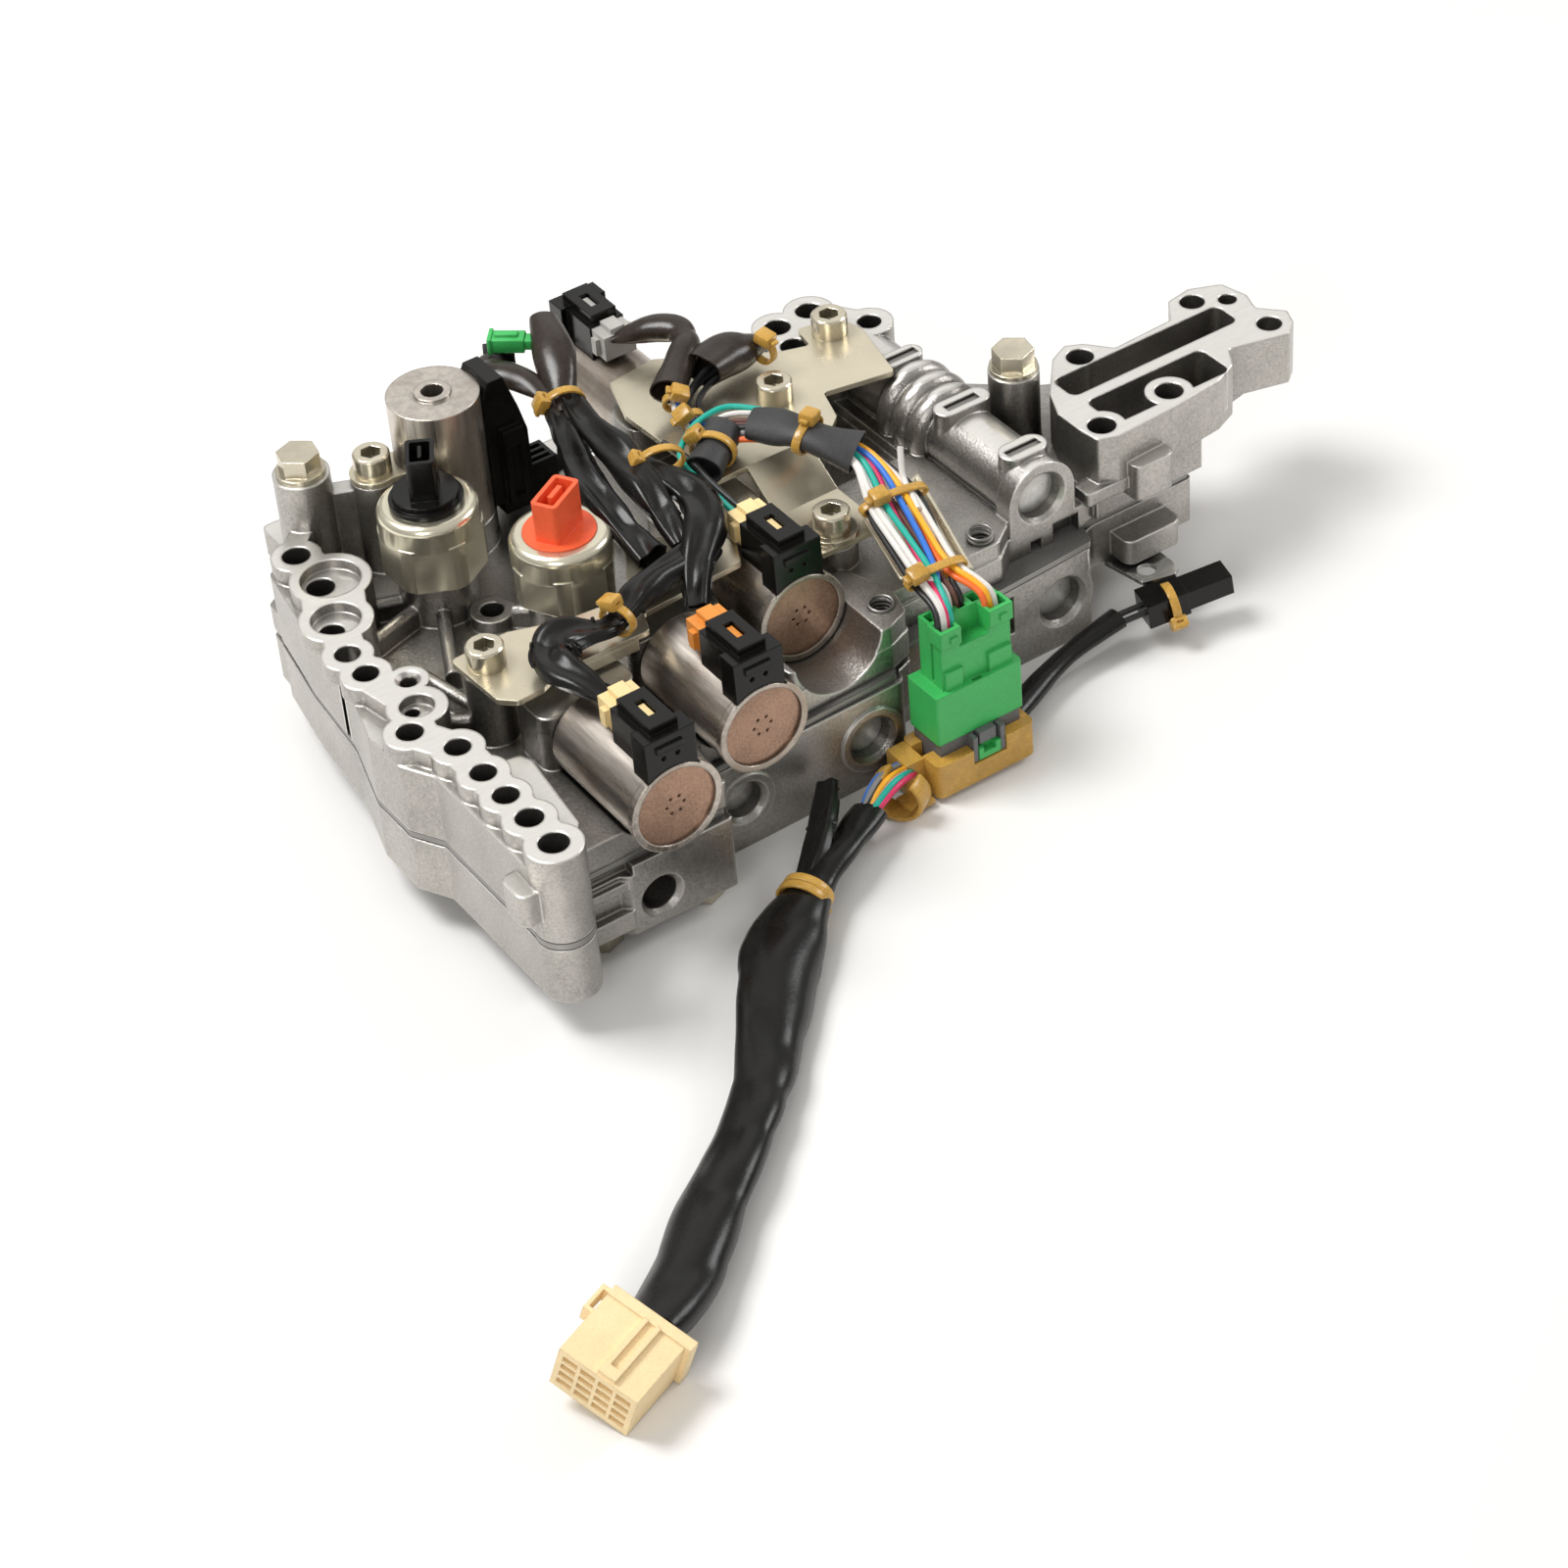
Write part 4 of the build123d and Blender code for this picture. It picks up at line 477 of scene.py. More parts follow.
class VALVE_OT_finishes(bpy.types.Operator):
    """Builds the finishes and gives each CAD node its own"""

    bl_idname = "valve.finishes"
    bl_label = "Finishes"

    def execute(self, context):
        look = context.scene.valve_finish
        mottle_group()
        stroke_group()
        milled_group()
        edge_light_and_shade_group()
        casting_finish(tuple(look.casting), tuple(look.machined))
        stroke_finish("plate_steel", (0.34, 0.33, 0.31), 0.4, 0.8, (0.1, 1.0, 1.0), rounding=0.0002)
        plain_finish("cut_thread", (0.30, 0.29, 0.275), 0.34, 0.8, spread=0.1, bump=0.05)
        plain_finish("gasket_fibre", (0.10, 0.095, 0.09), 0.8, bump=0.4)
        stroke_finish("valve_alloy", (0.72, 0.71, 0.68), 0.34, 0.7, (1.0, 0.1, 1.0), rounding=0.0003)
        stroke_finish(
            "zinc_steel", tuple(look.zinc), 0.30, 0.84, (1.0, 1.0, 1.0), scale=60.0, spread=0.05,
            rounding=0.0004, cloud=0.1, bump=0.01, corner_shade=0.45,
        )
        stroke_finish(
            "zinc_body", (0.85, 0.80, 0.63), 0.22, 0.88, (1.0, 1.0, 0.4), scale=60.0, spread=0.05,
            rounding=0.0003, cloud=0.1, bump=0.01, corner_shade=0.3,
        )
        stroke_finish(
            "bolt_zinc", tuple(look.bolt), 0.24, 0.92, (1.0, 1.0, 0.3), scale=200.0, spread=0.10,
            rounding=0.0005, cloud=0.2, bump=0.02, corner_shade=0.6,
        )
        stroke_finish(
            "solenoid_steel", tuple(look.can), 0.30, 0.9, (1.0, 0.08, 1.0), scale=420.0, spread=0.3,
            rounding=0.0006, cloud=0.3, stain=(0.33, 0.26, 0.20),
        )
        stroke_finish(
            "solenoid_upright", (0.60, 0.55, 0.49), 0.30, 0.9, (1.0, 1.0, 0.06), scale=420.0, spread=0.2,
            rounding=0.0006, cloud=0.3, stain=(0.44, 0.38, 0.32),
        )
        plain_finish(
            "solenoid_cap", (0.34, 0.21, 0.145), 0.30, 0.7, patch=55.0, spread=0.4, bump=0.2, rounding=0.0004
        )
        plain_finish(
            "black_plastic", (0.006, 0.0055, 0.005), 0.17, patch=90.0, spread=0.3, bump=0.06, rounding=0.0005,
            shine=0.28,
        )
        plain_finish("plug_cream", (0.84, 0.65, 0.32), 0.4, patch=60.0, spread=0.1, rounding=0.0004)
        plain_finish("plug_grey", (0.40, 0.39, 0.36), 0.4, patch=60.0, spread=0.1, rounding=0.0004)
        plain_finish("plug_orange", (0.70, 0.25, 0.035), 0.4, patch=90.0, spread=0.15, rounding=0.0004)
        plain_finish("orange_plastic", tuple(look.orange), 0.45, patch=90.0, spread=0.12, rounding=0.0004)
        plain_finish("cream_plastic", tuple(look.cream), 0.45, patch=60.0, spread=0.1, rounding=0.0005)
        plain_finish("grey_plastic", (0.13, 0.13, 0.135), 0.45, rounding=0.0004)
        plain_finish("green_plastic", tuple(look.green), 0.4, patch=60.0, spread=0.12, rounding=0.0005)
        plain_finish(
            "black_sleeve", tuple(look.vinyl), 0.27, patch=60.0, grain=900.0, spread=0.3, bump=0.2, shine=0.32
        )
        plain_finish(
            "brown_sleeve", (0.026, 0.018, 0.013), 0.28, patch=60.0, grain=900.0, spread=0.4, bump=0.2,
            shine=0.45,
        )
        plain_finish(
            "matte_sleeve", (0.035, 0.035, 0.036), 0.55, patch=80.0, grain=1200.0, spread=0.3, bump=0.4
        )
        stroke_finish("bright_tab", (0.6, 0.6, 0.58), 0.25, 0.95, (0.2, 1.0, 1.0), rounding=0.0003)
        amber_finish("amber_nylon", tuple(look.amber))
        for name, colour in WIRES.items():
            plain_finish(name, colour, 0.38, patch=150.0, grain=2500.0, spread=0.1, bump=0.08)
        slots = {entry["node"]: entry["material_slot"] for entry in frame["record"]["subparts"]}
        for name, node in frame["nodes"].items():
            node.data.materials.clear()
            node.data.materials.append(finish_of(SLOT_FINISH.get(slots[name], slots[name])))
        for name, finish in OWN_FINISH.items():
            frame["nodes"][name].data.materials[0] = finish_of(finish)
        return {"FINISHED"}


# Modelling helpers


def fresh():
    """Leaves nothing selected, so that an operator meets the new piece alone."""
    if bpy.context.object and bpy.context.object.mode != "OBJECT":
        bpy.ops.object.mode_set(mode="OBJECT")
    bpy.ops.object.select_all(action="DESELECT")


def pick(obj):
    """Selects one piece and makes it the active one."""
    fresh()
    obj.select_set(True)
    bpy.context.view_layer.objects.active = obj


def settle(obj, name, finish, slot, smooth=35.0):
    """Names a finished piece, moves its place into its mesh and lets it ride on the housing."""
    pick(obj)
    bpy.ops.object.transform_apply(location=True, rotation=True, scale=True)
    bpy.ops.object.shade_smooth_by_angle(angle=math.radians(smooth))
    obj.name = name
    obj.data.name = name
    obj.data.materials.clear()
    obj.data.materials.append(finish_of(finish))
    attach(obj, BODY)
    return obj


def apply_modifiers(obj):
    """Applies every modifier of a piece."""
    pick(obj)
    for modifier in list(obj.modifiers):
        bpy.ops.object.modifier_apply(modifier=modifier.name)


def thicken(obj, thickness, offset, rounding):
    """Gives a thin piece its wall and rounds its edges."""
    wall = obj.modifiers.new("wall", "SOLIDIFY")
    wall.thickness = thickness
    wall.offset = offset
    edges = obj.modifiers.new("edges", "BEVEL")
    edges.width = rounding
    edges.segments = 2
    apply_modifiers(obj)


def edit_faces(obj, wanted):
    """Opens edit mode on one piece with the wanted faces selected."""
    pick(obj)
    bpy.ops.object.mode_set(mode="EDIT")
    bpy.ops.mesh.select_mode(type="FACE")
    bpy.ops.mesh.select_all(action="DESELECT")
    bpy.ops.object.mode_set(mode="OBJECT")
    for face in obj.data.polygons:
        face.select = wanted(face)
    bpy.ops.object.mode_set(mode="EDIT")


def oval_band(half_width, half_height, depth):
    """An open oval band round the Z axis, with no wall yet."""
    fresh()
    bpy.ops.mesh.primitive_cylinder_add(vertices=48, radius=1.0, depth=depth, end_fill_type="NOTHING")
    band = bpy.context.object
    band.scale = (half_width, half_height, 1.0)
    bpy.ops.object.transform_apply(location=False, rotation=False, scale=True)
    return band


def box_piece(x0, x1, y0, y1, z0, z1, round_mm=0.4):
    """A box between limits in millimetres, with its edges rounded."""
    fresh()
    centre = Vector(((x0 + x1) / 2, (y0 + y1) / 2, (z0 + z1) / 2)) * MM
    bpy.ops.mesh.primitive_cube_add(size=1.0, location=(0, 0, 0))
    obj = bpy.context.object
    obj.scale = ((x1 - x0) * MM, (y1 - y0) * MM, (z1 - z0) * MM)
    bpy.ops.object.transform_apply(location=False, rotation=False, scale=True)
    bevel = obj.modifiers.new("edges", "BEVEL")
    bevel.width = round_mm * MM
    bevel.segments = 2
    bpy.ops.object.modifier_apply(modifier=bevel.name)
    obj.location = centre
    bpy.ops.object.transform_apply(location=True, rotation=True, scale=True)
    return obj


def join(pieces):
    """One piece out of several."""
    fresh()
    for obj in pieces:
        obj.select_set(True)
    bpy.context.view_layer.objects.active = pieces[0]
    bpy.ops.object.join()
    return bpy.context.object


def metres(points):
    """Points in millimetres as metres."""
    return [tuple(value * MM for value in point) for point in points]


def route_curve(name, points, radii=None, tilts=None):
    """A smooth route with the given points, in metres, as its control points."""
    curve = bpy.data.curves.new(name, "CURVE")
    curve.dimensions = "3D"
    curve.resolution_u = 8
    spline = curve.splines.new("NURBS")
    spline.points.add(len(points) - 1)
    for i, point in enumerate(points):
        spline.points[i].co = (*point, 1.0)
        spline.points[i].radius = radii[i] if radii else 1.0
        spline.points[i].tilt = tilts[i] if tilts else 0.0
    spline.order_u = 3
    spline.use_endpoint_u = True
    obj = bpy.data.objects.new(name, curve)
    bpy.context.scene.collection.objects.link(obj)
    return obj


def read_route(points):
    """The points that the smooth route passes, in metres."""
    probe = route_curve("probe", points)
    mesh = bpy.data.meshes.new_from_object(probe)
    line = [tuple(v.co) for v in mesh.vertices]
    bpy.data.meshes.remove(mesh)
    bpy.data.objects.remove(probe)
    return line


def oval(width, height):
    """A closed oval curve that gives a sleeve its section."""
    fresh()
    bpy.ops.curve.primitive_bezier_circle_add(radius=1.0)
    shape = bpy.context.object
    shape.scale = (width / 2, height / 2, 1.0)
    bpy.ops.object.transform_apply(location=False, rotation=False, scale=True)
    shape.data.resolution_u = 8
    return shape


# Eighth turns of the limp section from its right side, as shares of half the width and height
PLEATS = (
    (1.0, 0.0), (0.74, 0.70), (0.18, 0.66), (-0.55, 0.96), (-1.0, -0.1), (-0.62, -0.85), (0.02, -0.8),
    (0.62, -0.9),
)


def limp_section(width, height):
    """The closed section of a limp sleeve: sharp at both sides, pleated above and below."""
    shape = oval(2.0, 2.0)
    bpy.ops.object.mode_set(mode="EDIT")
    bpy.ops.curve.select_all(action="SELECT")
    bpy.ops.curve.subdivide(number_cuts=1)
    bpy.ops.curve.handle_type_set(type="AUTOMATIC")
    bpy.ops.object.mode_set(mode="OBJECT")
    for point in shape.data.splines[0].bezier_points:
        eighth = round(math.atan2(point.co.y, point.co.x) / (math.pi / 4)) % 8
        x, y = PLEATS[eighth]
        if eighth in (0, 4):
            point.handle_left_type = point.handle_right_type = "VECTOR"
        point.co = (x * width / 2, y * height / 2, 0.0)
    return shape


# Width of the noise of a sleeve's long and short folds, in metres
LONG_FOLD = 0.0210
SHORT_FOLD = 0.0070


def folds(name, scale):
    """The noise that wrinkles a sleeve."""
    texture = bpy.data.textures.get(name) or bpy.data.textures.new(name, "CLOUDS")
    texture.noise_scale = scale
    texture.noise_type = "HARD_NOISE" if scale == LONG_FOLD else "SOFT_NOISE"
    texture.noise_depth = 0
    return texture


def sleeve(
    name, points, width, height, finish, radii, tilts=None, *, wrinkle, wall, section=oval, crumple=0.3
):
    """A vinyl sleeve: a flattened section along a smooth route, folds pushed into it, and a thin wall."""
    obj = route_curve(name, points, radii, tilts)
    shape = section(width, height)
    obj.data.bevel_mode = "OBJECT"
    obj.data.bevel_object = shape
    obj.data.twist_mode = "Z_UP"
    obj.data.resolution_u = 12
    pick(obj)
    bpy.ops.object.convert(target="MESH")
    obj = bpy.context.object
    bpy.data.objects.remove(shape)
    weld = obj.modifiers.new("weld", "WELD")
    weld.merge_threshold = WELD
    for label, scale, share in (("long_folds", LONG_FOLD, 1.0), ("short_folds", SHORT_FOLD, crumple)):
        push = obj.modifiers.new(label, "DISPLACE")
        push.texture = folds(label, scale)
        push.texture_coords = "GLOBAL"
        push.strength = wrinkle * share
        push.mid_level = 0.5
    shell = obj.modifiers.new("wall", "SOLIDIFY")
    shell.thickness = wall
    shell.offset = -1.0
    shell.use_even_offset = False
    apply_modifiers(obj)
    bpy.ops.object.mode_set(mode="EDIT")
    bpy.ops.mesh.select_all(action="SELECT")
    bpy.ops.mesh.normals_make_consistent(inside=False)
    bpy.ops.object.mode_set(mode="OBJECT")
    return settle(obj, name, finish, "black_sleeve", 60.0)


def wire(name, points, diameter, finish, slot="wire_white"):
    """A round wire along a smooth route."""
    obj = route_curve(name, points)
    obj.data.bevel_depth = diameter / 2
    obj.data.bevel_resolution = 3
    obj.data.resolution_u = 6
    obj.data.use_fill_caps = True
    pick(obj)
    bpy.ops.object.convert(target="MESH")
    obj = bpy.context.object
    weld = obj.modifiers.new("weld", "WELD")
    weld.merge_threshold = WELD
    apply_modifiers(obj)
    return settle(obj, name, finish, slot, 60.0)


# Cable tie in metres: its band, its lock along, up and across the band, the share of the lock's height
# at which it stands off the band, the rim and depth of its mouth, and the cut end past it
BAND_WIDTH = 0.0024
BAND_THICKNESS = 0.0008
BAND_EDGE = 0.0002
LOCK = (0.0050, 0.0034, 0.0046)
LOCK_REST = 0.42
LOCK_RIM = 0.0007
LOCK_MOUTH = 0.0008
STUB = 0.0014
# Half height and half width of the cut end in millimetres
STUB_HALF = (0.55, 1.2)


def tie_band(place, way, width, height, turn):
    """A nylon tie round a bundle: the band, its lock at an angle from the top, and the cut end."""
    way = Vector(way).normalized()
    side = way.cross(Vector((0, 0, 1))).normalized()
    top = side.cross(way).normalized()
    stand = Matrix.Translation(Vector(place)) @ Matrix((side, top, way)).transposed().to_4x4()
    ring = oval_band(width / 2, height / 2, BAND_WIDTH)
    thicken(ring, BAND_THICKNESS, 1.0, BAND_EDGE)
    rest = LOCK[1] * LOCK_REST
    spot = Vector(((width / 2 + rest) * -math.sin(turn), (height / 2 + rest) * math.cos(turn), 0))
    lean = math.atan2(math.sin(turn) * height, math.cos(turn) * width)
    lock_at = Matrix.Translation(spot) @ Matrix.Rotation(lean, 4, "Z")
    half = [value / MM / 2 for value in LOCK]
    head = box_piece(-half[0], half[0], -half[1], half[1], -half[2], half[2], round_mm=0.7)
    edit_faces(head, lambda face: abs(face.normal.x) > 0.99)
    bpy.ops.mesh.inset(thickness=LOCK_RIM, use_individual=True)
    bpy.ops.mesh.inset(thickness=0.0, depth=-LOCK_MOUTH, use_individual=True)
    bpy.ops.object.mode_set(mode="OBJECT")
    head.matrix_world = lock_at
    up, across = STUB_HALF
    end = box_piece(half[0], half[0] + STUB / MM, -up, up, -across, across, round_mm=0.25)
    end.matrix_world = lock_at
    made = join([ring, head, end])
    made.matrix_world = stand @ made.matrix_world
    return made


# Harness

# Route of the loose tail in millimetres, from the holder to its connector
TAIL = [
    (-21.0, -69.0, 7.3),
    (-33.5, -78.0, 9.4),
    (-48.0, -85.8, 9.8),
    (-62.5, -92.2, 8.8),
    (-74.6, -99.4, 7.6),
    (-85.0, -108.8, 7.0),
    (-94.4, -120.5, 7.0),
    (-105.6, -134.6, 7.0),
    (-120.1, -149.4, 7.0),
    (-135.5, -161.2, 7.0),
    (-150.5, -173.2, 7.0),
    (-164.0, -186.0, 7.8),
    (-178.1, -193.5, 10.3),
]
# Open end of the tail's sleeve, and the wires that go into it from the holder
TAIL_MOUTH = (-37.0, -79.6, 9.8)
TAIL_WIRES = ("wire_blue", "wire_grey", "wire_black", "wire_yellow", "wire_rose", "wire_teal", "wire_pink")

# Widening and tilt of the tail's sleeve along its route
TAIL_WIDENING = [0.58, 0.58, 0.60, 1.06, 1.22, 1.06, 0.84, 0.80, 0.86, 0.96, 1.0, 0.92]
TAIL_TILTS = [0.1, 0.25, 0.2, 0.1, -0.25, -0.5, -0.2, 0.15, 0.25, 0.05, 0.1, 0.3]
# Bow of the tail's wires before the sleeve: place and spread over the bundle in millimetres, and the
# rise of every second wire
TAIL_BOW = [
    ((-17.0, -70.5, 8.2), (-1.6, -2.6), 0.0),
    ((-23.6, -73.6, 11.6), (1.5, -3.0), 0.7),
    ((-31.0, -77.0, 13.2), (1.6, -2.7), 0.8),
]
# Spread of the tail's wires inside the sleeve and the rise of one above the next, in metres
STRAND_SPREAD = (0.0008, -0.0013)
STRAND_RISE = 0.0004

# Empty flat sleeves beside the tail's: name, route, width and height, widening, tilt
LEAVES = [
    (
        "leaf_outer",
        [
            (-41.0, -66.6, 13.0), (-47.0, -74.0, 12.6), (-54.0, -81.6, 12.0), (-60.6, -87.6, 10.6),
            (-66.6, -91.8, 9.4),
        ],
        (8.6, 3.6), (0.75, 0.95, 1.0, 0.85, 0.6), (0.3, 0.35, 0.4, 0.3, 0.1),
    ),
    (
        "leaf_inner",
        [
            (-43.6, -73.6, 11.6), (-49.0, -79.4, 11.6), (-55.4, -85.0, 11.0), (-61.4, -89.6, 10.2),
            (-66.8, -93.0, 9.6),
        ],
        (5.6, 2.6), (0.8, 1.0, 1.0, 0.9, 0.7), (0.9, 0.8, 0.7, 0.4, 0.2),
    ),
]

# Route of the short lead in millimetres, from the holder to its connector
LEAD = [
    (16.5, -68.0, 6.0),
    (26.0, -63.5, 6.0),
    (36.0, -59.8, 6.8),
    (47.0, -57.2, 8.0),
    (58.0, -56.2, 9.4),
    (67.3, -58.6, 10.6),
]
# End of the lead's sleeve, short of its connector, and the widening along it
LEAD_END = (60.6, -56.5, 9.7)
LEAD_WIDENING = [1.1, 1.2, 0.95, 0.95, 1.15]
# Offset of each wire of the lead from its middle, the width and height of its sleeve, and the height of
# the folds and the wall of it, in metres
LEAD_PAIR = (0.0002, 0.0013, 0.0003)
LEAD_SECTION = (0.0066, 0.0046)
LEAD_FOLD = 0.0004
LEAD_WALL = 0.0004

# Sleeves: name, route in millimetres, width and height in millimetres, finish, widening along the
# route, CAD node
SLEEVES = [
    (
        "sleeve_back_inner",
        [
            (-31.5, 73.0, 78.5), (-35.5, 63.5, 77.6), (-39.5, 54.5, 74.5), (-42.0, 47.5, 72.0),
            (-44.2, 41.5, 70.6),
        ],
        (10.4, 7.0), "brown_sleeve", (0.95, 1.05, 1.15, 0.85, 0.75), None,
    ),
    (
        "sleeve_back_outer",
        [
            (-46.0, 75.6, 71.0), (-51.6, 71.5, 73.0), (-51.0, 64.0, 74.2), (-47.6, 56.7, 73.6),
            (-46.0, 49.4, 72.0), (-47.0, 41.4, 70.2), (-48.2, 35.0, 69.4),
        ],
        (9.4, 6.0), "brown_sleeve", (0.7, 1.0, 1.05, 0.95, 0.8, 0.7, 0.7), None,
    ),
    (
        "sleeve_left_upper",
        [
            (-45.0, 49.5, 71.0), (-47.6, 41.0, 70.5), (-51.0, 31.0, 70.2), (-55.0, 17.9, 69.6),
            (-57.6, 3.4, 68.6), (-58.0, -8.0, 66.8), (-57.8, -18.6, 65.0),
        ],
        (9.0, 6.4), "black_sleeve", (0.75, 0.8, 1.05, 1.1, 1.1, 1.0, 1.05), "branch_left",
    ),
    (
        "sleeve_middle_upper",
        [
            (-40.6, 48.0, 72.2), (-42.9, 41.1, 72.0), (-44.3, 27.5, 71.8), (-44.9, 13.9, 71.2),
            (-46.2, 1.0, 70.0), (-47.7, -10.6, 68.2), (-49.6, -20.0, 66.0),
        ],
        (9.6, 6.6), "black_sleeve", (0.75, 0.8, 1.1, 1.2, 1.1, 1.0, 0.55), "branch_middle",
    ),
    (
        "sleeve_middle_lower",
        [
            (-43.2, 11.5, 70.8), (-39.6, 2.0, 70.8), (-37.2, -8.5, 70.0), (-41.0, -19.0, 69.6),
            (-47.3, -26.6, 68.0), (-53.4, -32.9, 66.0), (-59.4, -41.6, 63.8),
        ],
        (10.6, 5.6), "black_sleeve", (0.8, 0.9, 1.05, 1.1, 1.0, 0.8, 0.72), None,
    ),
    (
        "sleeve_left_middle",
        [
            (-47.5, -22.5, 65.0), (-53.5, -25.6, 65.6), (-61.0, -27.8, 66.0), (-68.4, -30.4, 66.4),
            (-74.8, -33.4, 66.4), (-79.8, -37.0, 66.2),
        ],
        (9.8, 6.0), "black_sleeve", (0.7, 0.9, 1.0, 1.1, 1.0, 0.62), None,
    ),
    (
        "sleeve_left_lower",
        [
            (-78.0, -35.6, 66.2), (-83.4, -38.0, 66.2), (-88.3, -35.5, 66.0), (-93.6, -32.6, 65.6),
            (-98.6, -34.6, 65.4), (-100.4, -42.0, 65.2), (-98.4, -50.0, 64.6), (-95.6, -58.6, 63.4),
        ],
        (11.6, 5.4), "black_sleeve", (0.6, 0.8, 1.1, 1.15, 1.05, 1.0, 0.85, 0.6), None,
    ),
    (
        "sleeve_rear",
        [
            (-13.8, 70.2, 65.6), (-8.4, 67.0, 67.4), (-2.6, 61.4, 69.5), (0.6, 55.4, 70.4),
            (-2.6, 48.6, 70.4), (-9.3, 42.6, 69.2), (-17.0, 35.6, 68.4),
        ],
        (8.6, 6.4), "brown_sleeve", (0.5, 0.95, 1.0, 0.9, 1.1, 1.15, 1.2), "branch_rear",
    ),
    (
        "sleeve_wide",
        [(17.0, 42.8, 65.8), (12.0, 42.0, 67.0), (5.6, 41.0, 68.0), (-1.2, 39.4, 68.4), (-4.6, 38.4, 68.2)],
        (13.4, 10.4), "brown_sleeve", (0.5, 0.95, 1.1, 1.1, 1.08), None,
    ),
    (
        "sleeve_short",
        [(-13.6, 14.8, 66.2), (-18.0, 11.2, 65.8), (-22.4, 7.8, 65.6), (-27.4, 4.0, 65.4)],
        (10.4, 8.6), "matte_sleeve", (1.0, 1.0, 1.0, 1.05), None,
    ),
    (
        "sleeve_main",
        [(-8.0, 10.0, 68.4), (-3.6, 4.6, 68.2), (0.2, -0.8, 67.6), (3.4, -7.6, 66.8), (8.6, -14.6, 64.8)],
        (12.4, 7.4), "matte_sleeve", (0.95, 1.0, 0.95, 1.0, 1.08), "main_sleeve",
    ),
]

# Loose wires between the sleeves: name, route in millimetres, finish, CAD node
WIRE_RUNS = [
    (
        "wire_teal_loop",
        [
            (-2.0, 11.5, 68.6), (-5.0, 15.0, 69.2), (-9.8, 19.6, 69.4), (-16.1, 19.4, 69.2),
            (-21.9, 17.8, 68.6), (-27.7, 13.8, 67.6), (-30.6, 9.9, 67.0), (-31.2, 3.5, 66.4),
            (-30.8, -5.6, 65.4), (-30.4, -15.9, 64.0), (-30.2, -19.0, 63.8),
        ],
        "wire_teal",
        "branch_right",
    ),
    (
        "wire_black_loop",
        [
            (-29.8, 19.0, 67.0), (-29.2, 14.6, 67.0), (-28.3, 7.5, 66.8), (-29.0, -1.2, 65.8),
            (-28.3, -12.9, 64.3), (-27.8, -18.6, 63.8),
        ],
        "wire_black",
        None,
    ),
    (
        "wire_white_fan",
        [
            (-2.0, 9.5, 68.0), (-5.8, 13.4, 68.8), (-11.3, 17.2, 68.6), (-15.9, 17.0, 67.6),
            (-18.6, 12.6, 66.4),
        ],
        "wire_white",
        None,
    ),
    (
        "wire_brown_fan",
        [
            (-3.0, 8.0, 67.4), (-7.3, 12.3, 67.8), (-11.8, 15.4, 67.4), (-15.8, 14.8, 66.6),
            (-18.6, 11.2, 66.0),
        ],
        "wire_brown",
        None,
    ),
    (
        "wire_brown_fan_low",
        [
            (-3.4, 7.2, 66.8), (-7.9, 11.7, 67.0), (-12.0, 14.5, 66.8), (-15.8, 13.6, 66.0),
            (-18.8, 10.6, 65.6),
        ],
        "wire_brown",
        None,
    ),
    (
        "wire_black_fan",
        [(-4.4, 6.6, 66.8), (-9.0, 11.1, 67.0), (-12.2, 13.5, 66.4), (-15.6, 12.6, 65.6), (-19.2, 9.8, 65.4)],
        "wire_black",
        None,
    ),
    (
        "wire_grey_fan",
        [(-5.6, 5.4, 66.0), (-9.9, 9.9, 66.2), (-12.4, 12.0, 65.6), (-15.4, 11.4, 65.0), (-19.4, 8.8, 64.8)],
        "wire_grey",
        None,
    ),
    (
        "wire_orange_fan",
        [(-7.0, 4.4, 65.4), (-11.0, 8.1, 65.6), (-13.6, 10.0, 65.2), (-16.4, 9.8, 64.8), (-20.0, 7.4, 64.4)],
        "wire_orange",
        None,
    ),
    (
        "wire_black_open_a",
        [
            (9.0, 41.8, 66.6), (1.6, 39.6, 65.8), (-4.6, 38.6, 65.4), (-10.6, 35.4, 65.4),
            (-14.6, 31.4, 64.6), (-14.8, 26.0, 63.8), (-13.4, 20.0, 63.4),
        ],
        "wire_black",
        None,
    ),
    (
        "wire_black_open_b",
        [
            (9.0, 40.4, 66.0), (1.8, 38.0, 65.0), (-4.0, 36.4, 64.6), (-9.4, 33.2, 64.6), (-12.6, 29.0, 64.0),
            (-12.8, 23.8, 63.4),
        ],
        "wire_black",
        None,
    ),
    (
        "wire_black_open_c",
        [
            (8.6, 42.6, 68.0), (0.6, 40.6, 67.6), (-6.0, 38.4, 66.6), (-11.6, 34.6, 66.2),
            (-16.2, 30.6, 65.4), (-18.4, 25.4, 64.2),
        ],
        "wire_black",
        None,
    ),
    (
        "wire_blue_open",
        [
            (-11.5, 40.5, 68.2), (-15.2, 35.6, 67.6), (-17.4, 30.6, 66.6), (-18.4, 26.6, 65.4),
            (-16.4, 23.8, 64.4), (-13.2, 21.2, 63.6),
        ],
        "wire_blue",
        None,
    ),
    (
        "wire_white_open",
        [
            (-12.5, 39.4, 68.0), (-16.6, 34.6, 67.0), (-19.2, 29.6, 66.0), (-20.0, 24.6, 65.0),
            (-18.4, 20.2, 64.4),
        ],
        "wire_white",
        None,
    ),
    (
        "wire_white_end",
        [
            (9.6, -40.2, 60.6), (11.4, -35.4, 60.8), (12.9, -29.8, 61.2), (13.8, -26.8, 63.6),
            (15.4, -24.6, 69.0),
        ],
        "wire_white",
        None,
    ),
]

